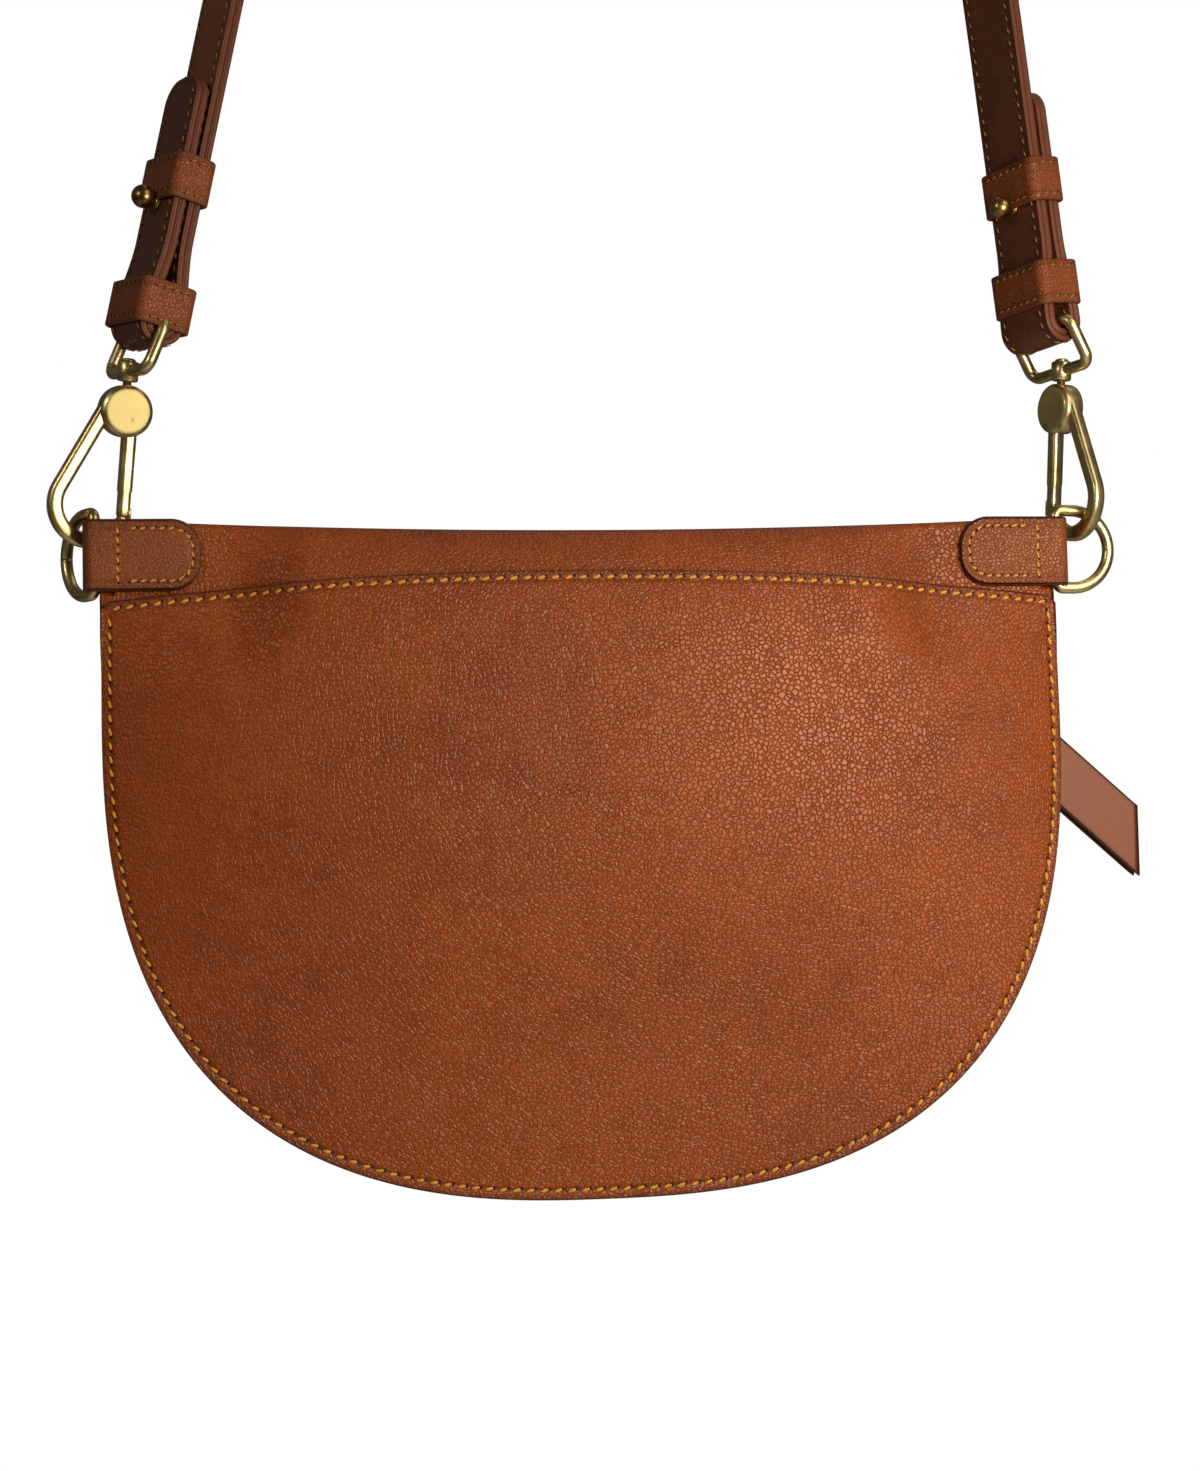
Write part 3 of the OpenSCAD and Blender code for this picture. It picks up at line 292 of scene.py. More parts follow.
def shell_data(g, t, flip=1.0, edge=None, round_share=0.35):
    """Vertices, faces, material indices and edge distances of a leather sheet under the outer grid g."""
    n, m = g.shape[:2]
    nor = grid_normals(g) * flip
    inner = g - t * nor
    verts = [g.reshape(-1, 3), inner.reshape(-1, 3)]
    base = n * m
    idx = np.arange(n * m).reshape(n, m)
    q = np.stack([idx[:-1, :-1], idx[1:, :-1], idx[1:, 1:], idx[:-1, 1:]], -1).reshape(-1, 4)
    if flip < 0:
        q = q[:, ::-1]
    faces = [q, q[:, ::-1] + base]
    mats = [np.zeros(len(q), int), np.full(len(q), 1)]
    loop = np.concatenate([idx[0, :], idx[1:, -1], idx[-1, -2::-1], idx[-2:0:-1, 0]])
    flat = g.reshape(-1, 3)
    fin = inner.reshape(-1, 3)
    ii, jj = np.unravel_index(loop, (n, m))
    away = np.zeros((len(loop), 3))
    for k, (i, j) in enumerate(zip(ii, jj)):
        v = np.zeros(3)
        if i == 0: v += unit(g[0, j] - g[1, j] + 1e-12)
        if i == n - 1: v += unit(g[-1, j] - g[-2, j] + 1e-12)
        if j == 0: v += unit(g[i, 0] - g[i, 1] + 1e-12)
        if j == m - 1: v += unit(g[i, -1] - g[i, -2] + 1e-12)
        away[k] = unit(v + 1e-12)
    rings = []
    start = 2 * base
    for share, out in ((0.14, 0.72), (0.5, 1.0), (0.86, 0.72)):
        ring = flat[loop] * (1 - share) + fin[loop] * share + away * (t * round_share * out)
        verts.append(ring)
        rings.append(np.arange(len(loop)) + start)
        start += len(loop)
    chain = [loop] + rings + [loop + base]
    for a, b in zip(chain[:-1], chain[1:]):
        strip = np.stack([a, b, np.roll(b, -1), np.roll(a, -1)], -1)
        if flip < 0:
            strip = strip[:, ::-1]
        faces.append(strip)
        mats.append(np.full(len(strip), 1))
    e = np.zeros(start)
    if edge is not None:
        e[:base] = edge.reshape(-1)
        e[base:2 * base] = edge.reshape(-1)
    return np.concatenate(verts), np.concatenate(faces), np.concatenate(mats), e


def sweep_data(frames, section, closed=False, cap=True):
    """frames are (point, a, b) with the section's two directions; section is (a, b) points, anticlockwise."""
    sec = np.asarray(section, float)
    k = len(sec)
    verts = []
    for f in frames:
        s = sec if len(f) < 4 else np.asarray(f[3], float)
        verts.append(f[0] + s[:, :1] * f[1] + s[:, 1:] * f[2])
    n = len(verts)
    faces = []
    for i in range(n if closed else n - 1):
        a, b = i * k, ((i + 1) % n) * k
        for j in range(k):
            faces.append((a + j, a + (j + 1) % k, b + (j + 1) % k, b + j))
    if not closed and cap:
        faces.append(tuple(range(k))[::-1])
        faces.append(tuple((n - 1) * k + j for j in range(k)))
    return np.concatenate(verts), faces


def circle_section(r, k=20):
    return [(r * cos(2 * pi * j / k), r * sin(2 * pi * j / k)) for j in range(k)]


def round_section(w, h, r, k=4):
    pts = []
    for cx, cy, a0 in ((w / 2 - r, h / 2 - r, 0), (-w / 2 + r, h / 2 - r, 90), (-w / 2 + r, -h / 2 + r, 180),
                       (w / 2 - r, -h / 2 + r, 270)):
        turns = [radians(a0 + 90 * q / k) for q in range(k + 1)]
        pts += [(cx + r * cos(t), cy + r * sin(t)) for t in turns]
    return pts


def lathe_data(origin, axis, profile, k=40):
    """profile is a list of (height, radius) from one end on the axis to the other."""
    axis = unit(axis)
    a = unit(np.cross(axis, [0.3, 0.9, 0.2]))
    b = np.cross(axis, a)
    verts, faces, rings = [], [], []
    for h, r in profile:
        if r < 1e-6:
            verts.append(origin + h * axis)
            rings.append([len(verts) - 1])
        else:
            ids = []
            for j in range(k):
                t = 2 * pi * j / k
                verts.append(origin + h * axis + r * (cos(t) * a + sin(t) * b))
                ids.append(len(verts) - 1)
            rings.append(ids)
    for p, q in zip(rings[:-1], rings[1:]):
        for j in range(k):
            if len(p) == 1:
                faces.append((p[0], q[(j + 1) % k], q[j]))
            elif len(q) == 1:
                faces.append((p[j], p[(j + 1) % k], q[0]))
            else:
                faces.append((p[j], p[(j + 1) % k], q[(j + 1) % k], q[j]))
    return np.array(verts), faces


def joined(*datas):
    verts, faces, base = [], [], 0
    for v, f in datas:
        verts.append(np.asarray(v))
        faces += [tuple(int(i) + base for i in q) for q in f]
        base += len(v)
    return np.concatenate(verts), faces


def along(points, pitch, closed=False, start=0.0):
    """Points every pitch along a polyline, with the direction there."""
    p = np.asarray(points, float)
    if closed:
        p = np.vstack([p, p[:1]])
    seg = np.linalg.norm(np.diff(p, axis=0), axis=1)
    s = np.concatenate([[0], np.cumsum(seg)])
    count = max(1, int(round((s[-1] - 2 * start) / pitch)))
    step = (s[-1] - 2 * start) / count
    at = start + step * (np.arange(count) + 0.5)
    out = np.stack([np.interp(at, s, p[:, c]) for c in range(3)], -1)
    ahead = np.stack([np.interp(np.minimum(at + 0.4, s[-1]), s, p[:, c]) for c in range(3)], -1)
    behind = np.stack([np.interp(np.maximum(at - 0.4, 0), s, p[:, c]) for c in range(3)], -1)
    d = ahead - behind
    return out, d / np.maximum(np.linalg.norm(d, axis=1, keepdims=True), 1e-9)


# %% [markdown]
# ## Stitches
# A node group sets one short, plump thread and a needle hole on every point of a seam; the hole is a small dark
# body, painted shade where the thread goes into the leather. The points carry the seam's direction and the leather's
# normal, so each thread lies flat along its seam. The result is kept as a plain mesh.

# %% Stitch nodes
def row_group(name, block):
    """A node group that sets one thread, or one block for a zip's teeth, on every point."""
    g = bpy.data.node_groups.new(name, "GeometryNodeTree")
    face = g.interface
    face.new_socket("Seam", in_out="INPUT", socket_type="NodeSocketGeometry")
    for label, value in (("Thread length", 0.0032), ("Thread width", 0.0008), ("Thread rise", 0.0006)):
        s = face.new_socket(label, in_out="INPUT", socket_type="NodeSocketFloat")
        s.default_value = value
    face.new_socket("Thread", in_out="INPUT", socket_type="NodeSocketMaterial")
    face.new_socket("Hole shade", in_out="INPUT", socket_type="NodeSocketMaterial")
    face.new_socket("Stitches", in_out="OUTPUT", socket_type="NodeSocketGeometry")
    n, l = g.nodes, g.links
    gi, go = n.new("NodeGroupInput"), n.new("NodeGroupOutput")
    if block:
        ball = n.new("GeometryNodeMeshCube")
    else:
        ball = n.new("GeometryNodeMeshUVSphere")
        ball.inputs["Segments"].default_value = 8
        ball.inputs["Rings"].default_value = 6
        ball.inputs["Radius"].default_value = 0.5
    size = n.new("ShaderNodeCombineXYZ")
    l.new(gi.outputs["Thread length"], size.inputs[0])
    l.new(gi.outputs["Thread width"], size.inputs[1])
    l.new(gi.outputs["Thread rise"], size.inputs[2])
    form = n.new("GeometryNodeTransform")
    l.new(ball.outputs["Mesh"], form.inputs["Geometry"])
    l.new(size.outputs[0], form.inputs["Scale"])
    way, up = n.new("GeometryNodeInputNamedAttribute"), n.new("GeometryNodeInputNamedAttribute")
    for a, label in ((way, "way"), (up, "up")):
        a.data_type = "FLOAT_VECTOR"
        a.inputs["Name"].default_value = label
    turn = n.new("FunctionNodeAlignRotationToVector")
    turn.axis = "X"
    l.new(way.outputs["Attribute"], turn.inputs["Vector"])
    lie = n.new("FunctionNodeAlignRotationToVector")
    lie.axis = "Z"
    lie.pivot_axis = "X"
    l.new(turn.outputs["Rotation"], lie.inputs["Rotation"])
    l.new(up.outputs["Attribute"], lie.inputs["Vector"])
    forms = [(form.outputs["Geometry"], "Thread")]
    if not block:
        # the hole is a dark body sunk at the thread's end: painted shade
        hole = n.new("GeometryNodeMeshUVSphere")
        hole.inputs["Segments"].default_value = 6
        hole.inputs["Rings"].default_value = 4
        hole.inputs["Radius"].default_value = 0.5
        deep = n.new("ShaderNodeVectorMath")
        deep.operation = "MULTIPLY"
        deep.inputs[1].default_value = (0.42, 1.15, 0.62)
        l.new(size.outputs[0], deep.inputs[0])
        step = n.new("ShaderNodeVectorMath")
        step.operation = "MULTIPLY"
        step.inputs[1].default_value = (0.58, 0.0, 0.0)
        l.new(size.outputs[0], step.inputs[0])
        sink = n.new("GeometryNodeTransform")
        l.new(hole.outputs["Mesh"], sink.inputs["Geometry"])
        l.new(deep.outputs[0], sink.inputs["Scale"])
        l.new(step.outputs[0], sink.inputs["Translation"])
        forms.append((sink.outputs["Geometry"], "Hole shade"))
    join = n.new("GeometryNodeJoinGeometry")
    for shape, label in forms:
        put = n.new("GeometryNodeInstanceOnPoints")
        l.new(gi.outputs["Seam"], put.inputs["Points"])
        l.new(shape, put.inputs["Instance"])
        l.new(lie.outputs["Rotation"], put.inputs["Rotation"])
        real = n.new("GeometryNodeRealizeInstances")
        l.new(put.outputs["Instances"], real.inputs["Geometry"])
        paint = n.new("GeometryNodeSetMaterial")
        l.new(real.outputs["Geometry"], paint.inputs["Geometry"])
        l.new(gi.outputs[label], paint.inputs["Material"])
        l.new(paint.outputs["Geometry"], join.inputs["Geometry"])
    l.new(join.outputs["Geometry"], go.inputs["Stitches"])
    return g


STITCHES, TEETH = row_group("Stitches", False), row_group("Teeth", True)


def sew(name, seams, body, length=2.5, width=0.95, rise=0.62, lift=0.08, slant=17.0, shape=STITCHES,
        paint=M_THREAD, replaces=()):
    """seams is a list of (points, directions, normals), in millimetres."""
    pts = np.concatenate([s[0] + lift * s[2] for s in seams]) * MM
    way = np.concatenate([s[1] for s in seams])
    up = np.concatenate([s[2] for s in seams])
    side = np.cross(up, way)
    way = way * cos(radians(slant)) + side * sin(radians(slant))
    me = bpy.data.meshes.new(name + "_seam")
    me.from_pydata([tuple(p) for p in pts], [], [])
    for label, data in (("way", way), ("up", up)):
        at = me.attributes.new(label, "FLOAT_VECTOR", "POINT")
        at.data.foreach_set("vector", np.asarray(data, np.float32).reshape(-1))
    tmp = bpy.data.objects.new(name + "_tmp", me)
    bpy.context.scene.collection.objects.link(tmp)
    mod = tmp.modifiers.new("stitches", "NODES")
    mod.node_group = shape
    values = {"Thread length": length * MM, "Thread width": width * MM, "Thread rise": rise * MM, "Thread": paint,
              "Hole shade": M_HOLE_SHADE}
    for item in shape.interface.items_tree:
        if item.item_type == "SOCKET" and item.in_out == "INPUT" and item.name in values:
            mod[item.identifier] = values[item.name]
    tmp.update_tag()
    bpy.context.view_layer.update()
    done = bpy.data.meshes.new_from_object(tmp.evaluated_get(bpy.context.evaluated_depsgraph_get()))
    bpy.data.objects.remove(tmp)
    done.name = name
    done.polygons.foreach_set("use_smooth", np.full(len(done.polygons), shape == STITCHES))
    ob = bpy.data.objects.new(name, done)
    bpy.context.scene.collection.objects.link(ob)
    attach(ob, body)
    if replaces:
        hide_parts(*replaces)
    return ob


print("node groups:", len(bpy.data.node_groups))

# %% [markdown]
# ## Shape of the bag
# The outline is straight at the sides and a squared ellipse below. The two faces swell from the seams, pinch
# together under the leather tabs, and roll over in one fold at the top. Soft, slow waves keep the leather from
# looking like a moulding: the panels sag a little between the tabs and pucker where the tabs pull.

# %% Outline and swelling
HALF_W, BAG_H, SIDE_D, POWER = 134.0, 187.0, 50.0, 2.6
LOW_H = BAG_H - SIDE_D
TOP_SAG, FOLD_HALF, FOLD_R, FOLD_LEN, SHOULDER_D = 3.0, 126.0, 2.2, 36.0, 19.5
RIM_TOP, RIM_LOW, BELLY_BACK, BELLY_FRONT, CROWN = 2.2, 12.0, 14.0, 19.0, 2.4
PANEL_T, LAYER = 1.4, 0.1
ZIP_D, ZIP_Y, ZIP_HALF, ZIP_SLOT, ZIP_BLEND = 41.0, 17.5, 114.0, 4.6, 20.0
TAB_H, TAB_LEN, TAB_UP, TAB_LOOP_R, RING_X = 18.6, 29.0, 0.4, 4.2, 136.0
POCKET_ROOM, POCKET_FULL, POCKET_END, PINCH_REACH = 7.0, 70.0, 160.0, 26.0
BAG_AT = np.array([-20.0, 0.0, -560.0])


def ease(t):
    t = np.clip(t, 0, 1)
    return t * t * (3 - 2 * t)


def rolled(t, r):
    s = np.clip(t / r, 0, 1)
    return np.sqrt(1 - (1 - s) ** 2)


def top_d(x):
    return TOP_SAG * (1 - np.minimum(1, np.abs(x) / FOLD_HALF) ** 2)


def edge_d(x):
    return np.maximum(top_d(x), SHOULDER_D * ease((np.abs(x) - FOLD_HALF) / ((HALF_W - FOLD_HALF) * 0.62)))


def rim(d):
    return RIM_TOP + (RIM_LOW - RIM_TOP) * ease((d - SHOULDER_D) / (BAG_H - SHOULDER_D))


def rho(x, d):
    low = ((np.abs(x) / HALF_W) ** POWER + (np.maximum(d - SIDE_D, 0) / LOW_H) ** POWER) ** (1 / POWER)
    return np.where(d < SIDE_D, np.abs(x) / HALF_W, low)


def pinch(x, d):
    dx = np.maximum(0, RING_X - TAB_LEN - 5.0 - np.abs(x))
    dz = np.maximum(0, d - TAB_H - 4.0)
    return 1 - ease(np.hypot(dx, dz) / PINCH_REACH)


def waves(x, d):
    """Slow undulation of soft leather, strongest away from the seams."""
    free = np.clip(1 - rho(x, d) ** 3, 0, 1) * ease((d - 14) / 25)
    w = 0.55 * np.sin(x / 31.0 + 0.6) * np.sin(d / 37.0 + 0.4) + 0.35 * np.sin(x / 17.0 - d / 29.0 + 1.3)
    w = w + 0.3 * np.sin(x / 53.0 + d / 19.0)
    sag = 1.3 * np.exp(-(x / 95.0) ** 2) * np.exp(-((d - 135) / 38.0) ** 2)
    pull = np.zeros_like(x + d)
    for side in (-1, 1):
        u, v = side * x - 103.0, d - 12.0
        ang = np.arctan2(v, -u)
        far = np.hypot(u, v)
        pull = pull + 0.25 * np.sin(ang * 9.0 + side) * np.exp(-((far - 26) / 17.0) ** 2)
    return free * (w + sag) + pull * np.clip(1 - rho(x, d) ** 4, 0, 1) * ease((d - 4) / 12)


def swell(x, d, belly):
    body = rim(d) * rolled(d - edge_d(x), FOLD_R)
    crown = (belly - rim(d)) * (1 - np.minimum(1, rho(x, d)) ** CROWN) * rolled(d - top_d(x), FOLD_LEN)
    return body + crown * (1 - pinch(x, d))


def zip_hold(x, d):
    flat = 1.75 * ZIP_SLOT
    a = 1 - ease((np.abs(d - ZIP_D) - flat) / ZIP_BLEND)
    b = 1 - ease((np.abs(x) - ZIP_HALF - 5.0) / (HALF_W - ZIP_HALF - 5.0 - RIM_TOP))
    return a * b * (1 - pinch(x, d)) * rolled(d - top_d(x), FOLD_LEN)


def back_y(x, d):
    return -swell(x, d, BELLY_BACK) - 0.6 * np.maximum(waves(x, d), -0.4)


def front_y(x, d):
    h = zip_hold(x, d)
    return (swell(x, d, BELLY_FRONT) + 0.5 * np.minimum(waves(-x, d), 0.6)) * (1 - h) + ZIP_Y * h


def room(x, d):
    low = ease((d - POCKET_FULL) / (POCKET_END - POCKET_FULL))
    return POCKET_ROOM * (1 - np.minimum(1, rho(x, d)) ** 4) * (1 - low)


def mouth_d(x):
    return 16.9 + 6.3 * (x / HALF_W) ** 2 + 1.6 * ease((np.abs(x) - HALF_W + 3.0) / 3.0)


def outline(count):
    """Points (x, d) of the seam from the left side, round the bottom, to the right side, evenly spaced."""
    t = np.linspace(0, pi, 4001)
    x = -HALF_W * np.sign(np.cos(t)) * np.abs(np.cos(t)) ** (2 / POWER)
    d = SIDE_D + LOW_H * np.sin(t).clip(0) ** (2 / POWER)
    s = np.concatenate([[0], np.cumsum(np.hypot(np.diff(x), np.diff(d)))])
    at = np.linspace(0, s[-1], count)
    return np.stack([np.interp(at, s, x), np.interp(at, s, d)], -1)


def seam_distance(x, d, top):
    """Distance of the points (x, d) to the cut edge: the outline, the sides and, where given, the top edge."""
    o = outline(900)
    line = np.concatenate([np.stack([np.full(60, -HALF_W), np.linspace(24, 50, 60)], -1), o,
                           np.stack([np.full(60, HALF_W), np.linspace(50, 24, 60)], -1)])
    if top is not None:
        line = np.concatenate([line, top])
    p = np.stack([x.reshape(-1), d.reshape(-1)], -1)
    best = np.full(len(p), 1e9)
    for i in range(0, len(line), 120):
        q = line[i:i + 120]
        gaps = np.hypot(p[:, None, 0] - q[None, :, 0], p[:, None, 1] - q[None, :, 1])
        best = np.minimum(best, np.min(gaps, axis=1))
    return best.reshape(x.shape)


def to_bag(x, y, d):
    return np.stack([x, y, -d], -1) + BAG_AT


print("outline length %.0f mm" % np.sum(np.hypot(*np.diff(outline(500), axis=0).T)))

# %% [markdown]
# ## Leather panels
# The slip pocket, the back panel, the front panel and the gusset are each one leather shell.

# %% Slip pocket panel
COLS, ROWS = 221, 72
OUT = outline(COLS)
fan = np.linspace(-1, 1, COLS)
mouth_x = HALF_W * fan
share = 0.5 - 0.5 * np.cos(pi * np.linspace(0, 1, ROWS))


def fan_grid(top_x, top_depth):
    x = top_x[:, None] * (1 - share) + OUT[:, 0][:, None] * share
    d = top_depth[:, None] * (1 - share) + OUT[:, 1][:, None] * share
    return x, d


px, pd = fan_grid(mouth_x, mouth_d(mouth_x))
py = back_y(px, pd) - room(px, pd) - LAYER - PANEL_T
mouth_line = np.stack([np.linspace(-HALF_W, HALF_W, 400), mouth_d(np.linspace(-HALF_W, HALF_W, 400))], -1)
pe = seam_distance(px, pd, mouth_line)
v, f, mi, e = shell_data(to_bag(px, py, pd), PANEL_T, flip=-1.0, edge=pe)
pocket = add_piece("slip_pocket", v, f, [M_BAG, M_EDGE], "bag", ["pocket_panel"], mi, e)
print("slip pocket:", len(pocket.data.polygons), "faces")

# %% Back panel, over the fold and down to the zip
slot_half = ZIP_SLOT * (1 - ease((np.abs(mouth_x) - ZIP_HALF) / (HALF_W - ZIP_HALF) * 2))
fold_x = mouth_x
fold_depth = edge_d(fold_x)
bx, bd = fan_grid(fold_x, fold_depth)
by = back_y(bx, bd)
wrap = 1 - np.cos(0.5 * pi * np.linspace(0, 1, 30))[1:]
wd = fold_depth[:, None] * (1 - wrap) + (ZIP_D - slot_half - LAYER)[:, None] * wrap
wx = np.repeat(fold_x[:, None], len(wrap), 1)
wy = front_y(wx, wd)
gx = np.concatenate([bx[:, ::-1], wx], 1)
gd = np.concatenate([bd[:, ::-1], wd], 1)
gy = np.concatenate([by[:, ::-1], wy], 1)
be = np.concatenate([seam_distance(bx, bd, None)[:, ::-1],
                     np.minimum(seam_distance(wx, wd, None), (ZIP_D - slot_half)[:, None] - wd)], 1)
v, f, mi, e = shell_data(to_bag(gx, gy, gd), PANEL_T, flip=1.0, edge=be)
back = add_piece("back_leather", v, f, [M_BAG, M_EDGE], "bag", ["back_panel"], mi, e)

# %% Front panel and gusset
fx, fd = fan_grid(mouth_x, ZIP_D + slot_half + LAYER)
fy = front_y(fx, fd)
fe = np.minimum(seam_distance(fx, fd, None), fd - (ZIP_D + slot_half)[:, None])
v, f, mi, e = shell_data(to_bag(fx, fy, fd), PANEL_T, flip=1.0, edge=fe)
front = add_piece("front_leather", v, f, [M_BAG, M_EDGE], "bag", ["front_panel"], mi, e)
go = outline(181)
shrink = 3.0
gx2 = go[:, 0] * (HALF_W - shrink) / HALF_W
gd2 = SIDE_D + (go[:, 1] - SIDE_D) * (LOW_H - shrink) / LOW_H
top_run = np.linspace(SHOULDER_D + 3, SIDE_D, 10)[:-1]
gx2 = np.concatenate([np.full(9, -HALF_W + shrink), gx2, np.full(9, HALF_W - shrink)])
gd2 = np.concatenate([top_run, gd2, top_run[::-1]])
half_g = rim(gd2) - PANEL_T - LAYER
cross_s = np.linspace(1, -1, 13)
dent = 0.9 * (1 - cross_s ** 2)
inward = np.stack([-gx2 / HALF_W, -(gd2 - SIDE_D).clip(0) / LOW_H], -1)
inward /= np.maximum(np.linalg.norm(inward, axis=1, keepdims=True), 1e-6)
G = to_bag(gx2[:, None] + inward[:, :1] * dent * (half_g[:, None] / 10), half_g[:, None] * cross_s,
           gd2[:, None] + inward[:, 1:] * dent * (half_g[:, None] / 10))
v, f, mi, e = shell_data(G, 1.2, flip=1.0)
# the gusset's darker leather is painted shade
gusset = add_piece("gusset_band", v, f, [M_GUSSET_SHADED, M_GUSSET_SHADED], "bag", ["gusset"], mi,
                   np.full(len(v), 9.0))
for label, g, side, first in (("back", to_bag(bx, by, bd), -1, 12), ("front", to_bag(fx, fy, fd), 1, 16)):
    sunk = g - (PANEL_T + 0.7) * side * grid_normals(g)
    sunk[..., 1] = side * np.maximum(side * sunk[..., 1], 0.5)
    v, f, mi, e = shell_data(sunk[8:-8, first:-5], 0.4, flip=float(side))
    add_piece("lining_cloth_" + label, v, f, [M_LINING, M_LINING], "bag", ["lining_" + label], mi, e)
paint_nodes(M_TAPE, "zip_tape_upper", "zip_tape_lower")
print("panels:", back.name, front.name, gusset.name)

# %% Seams of the bag
def surface_normals(pts, func, sign):
    """Normals of y = func(x, d) at bag points, sign -1 on the back and +1 on the front."""
    x = pts[:, 0] - BAG_AT[0]
    d = BAG_AT[2] - pts[:, 2]
    h = 0.4
    gx_ = (func(x + h, d) - func(x - h, d)) / (2 * h)
    gd_ = (func(x, d + h) - func(x, d - h)) / (2 * h)
    n = np.stack([-gx_, np.ones_like(gx_), gd_], -1) * sign
    return n / np.linalg.norm(n, axis=1, keepdims=True)


def pocket_y(x, d):
    return back_y(x, d) - room(x, d) - LAYER - PANEL_T


def seam_on(xd, func, sign, pitch):
    x, d = xd[:, 0], xd[:, 1]
    line = to_bag(x, func(x, d), d)
    pts, way = along(line, pitch)
    return pts, way, surface_normals(pts, func, sign)


def inset_outline(inset, top, count=700):
    o = outline(count)
    nx = np.gradient(o[:, 1])
    nd = -np.gradient(o[:, 0])
    L = np.hypot(nx, nd)
    side = np.stack([np.full(40, -HALF_W + inset), np.linspace(top, SIDE_D, 41)[:-1]], -1)
    body = o + inset * np.stack([nx / L, nd / L], -1)
    other = np.stack([np.full(40, HALF_W - inset), np.linspace(SIDE_D, top, 41)[1:]], -1)
    return np.concatenate([side, body, other])


STITCH_IN, PITCH = 2.3, 3.75
mx = np.linspace(-HALF_W + 2.4, HALF_W - 2.4, 500)
mouth_seam = np.stack([mx, mouth_d(mx) + 1.75], -1)
bag_seams = [
    seam_on(inset_outline(STITCH_IN, 26.5), pocket_y, -1, PITCH),
    seam_on(mouth_seam, pocket_y, -1, PITCH),
    seam_on(inset_outline(STITCH_IN, 46.5), front_y, 1, PITCH),
]
zx = np.linspace(-ZIP_HALF + 1, ZIP_HALF - 1, 400)
for s in (-1, 1):
    bag_seams.append(seam_on(np.stack([zx, np.full(400, ZIP_D + s * (ZIP_SLOT + 2.0))], -1), front_y, 1, 3.2))
sew("bag_stitches", bag_seams, "bag")
print("bag stitches:", sum(len(s[0]) for s in bag_seams))

# %% [markdown]
# ## Frames of the hardware
# The rings stand in the tabs, the hooks hang from the swivel eyes, and the strap's folded ends hold the eyes. Each
# of these has its own origin and its own three directions, for the left side (-1) and the right side (1).

# %% Frames of the rings, hooks and strap ends
WIRE_R, BEND_R, PLY, STRAP_W = 1.7, 2.7, 2.0, 20.0
BAR_T, BAR_W, BAR_R, BOW_R, BOW_U, BOW_V = 4.2, 4.0, 1.3, 10.0, 7.5, 26.6
GATE_U, GATE_T, GATE_END, PIN_V, DRUM_R, DRUM_W = 1.6, 4.0, 29.8, 2.4, 7.2, 7.0
BARREL_V, BARREL_R, BARREL_H, EYE_W, EYE_H, EYE_BEND = 11.0, 2.9, 5.6, 20.8, 11.0, 3.2
RAIL_R, HOOK_REACH, RING_ARM, RING_H, HOOK_PLAY = 12.5, 7.6, 5.0, 19.0, 1.65
SIDES = {-1: "left", 1: "right"}
Z = np.array([0.0, 0.0, 1.0])


def flat_to(v, axis):
    v = np.asarray(v, float)
    return unit(v - np.dot(v, axis) * axis)


def turned(a):
    return np.array([cos(radians(a)), sin(radians(a)), 0.0])


RING_HALF = RING_H / 2 + WIRE_R
RING_Z = TAB_UP - TAB_H / 2
RING_DIR = {-1: turned(180 - 57), 1: turned(6)}
RING_AT = {s: BAG_AT + np.array([s * RING_X, 0, RING_Z]) for s in SIDES}
arm_drop = RING_HALF - sqrt(RING_HALF ** 2 - (HOOK_REACH - RING_ARM) ** 2)
CONTACT = {s: RING_AT[s] + (RING_HALF - arm_drop) * Z + HOOK_REACH * RING_DIR[s] for s in SIDES}
HOOK_UP = {-1: unit([0.1, -0.15, 1]), 1: unit([0.03, -0.10, 1])}
HOOK_SIDE = {-1: flat_to(turned(20), HOOK_UP[-1]), 1: flat_to(turned(180 - 70), HOOK_UP[1])}
HOOK_FACE = {s: np.cross(HOOK_UP[s], HOOK_SIDE[s]) for s in SIDES}
seat = BOW_R - BAR_T / 2 - WIRE_R - HOOK_PLAY
PULL_U, PULL_V = -BOW_U - seat * sin(radians(34)), -BOW_V - seat * cos(radians(34))
DRUM_AT = {s: CONTACT[s] - PULL_U * HOOK_SIDE[s] - PULL_V * HOOK_UP[s] for s in SIDES}
BARREL_AT = {s: DRUM_AT[s] + BARREL_V * HOOK_UP[s] for s in SIDES}
SADDLE_R = RAIL_R + PLY
LEAVE = {-1: radians(180 - 16.5), 1: radians(15.5)}
LEAVE_OUT = {s: np.array([cos(a), 0, sin(a)]) for s, a in LEAVE.items()}
TWIST = {-1: radians(31), 1: radians(23)}
STRAP_UP = {-1: unit([0.215, -0.008, 1]), 1: unit([-0.11, -0.012, 1])}
STRAP_ACROSS = {s: flat_to([sin(TWIST[s]), -cos(TWIST[s]), 0], STRAP_UP[s]) for s in SIDES}
STRAP_OUT = {s: s * np.cross(STRAP_UP[s], STRAP_ACROSS[s]) for s in SIDES}
EYE_UP = {-1: flat_to([0.42, -0.01, 0.91], STRAP_ACROSS[-1]), 1: flat_to([-0.455, -0.184, 0.874], STRAP_ACROSS[1])}
EYE_RISE = EYE_H + 2 * WIRE_R
FOLD_AT = {s: BARREL_AT[s] + EYE_RISE * EYE_UP[s] + (BEND_R - WIRE_R - 0.9) * STRAP_UP[s] for s in SIDES}
BEND_MID = BEND_R + PLY
TAIL, STUD_H = {-1: 70.0, 1: 68.0}, {-1: 34.0, 1: 35.0}
TAIL_CLOSE, CLOSED_Y, TIP_R = 24.0, PLY + 0.3, 7.0
KEEP_H, KEEP_T, KEEP_GAP = 12.8, 1.5, 0.3
print("drums at", np.round(DRUM_AT[-1], 1), np.round(DRUM_AT[1], 1))

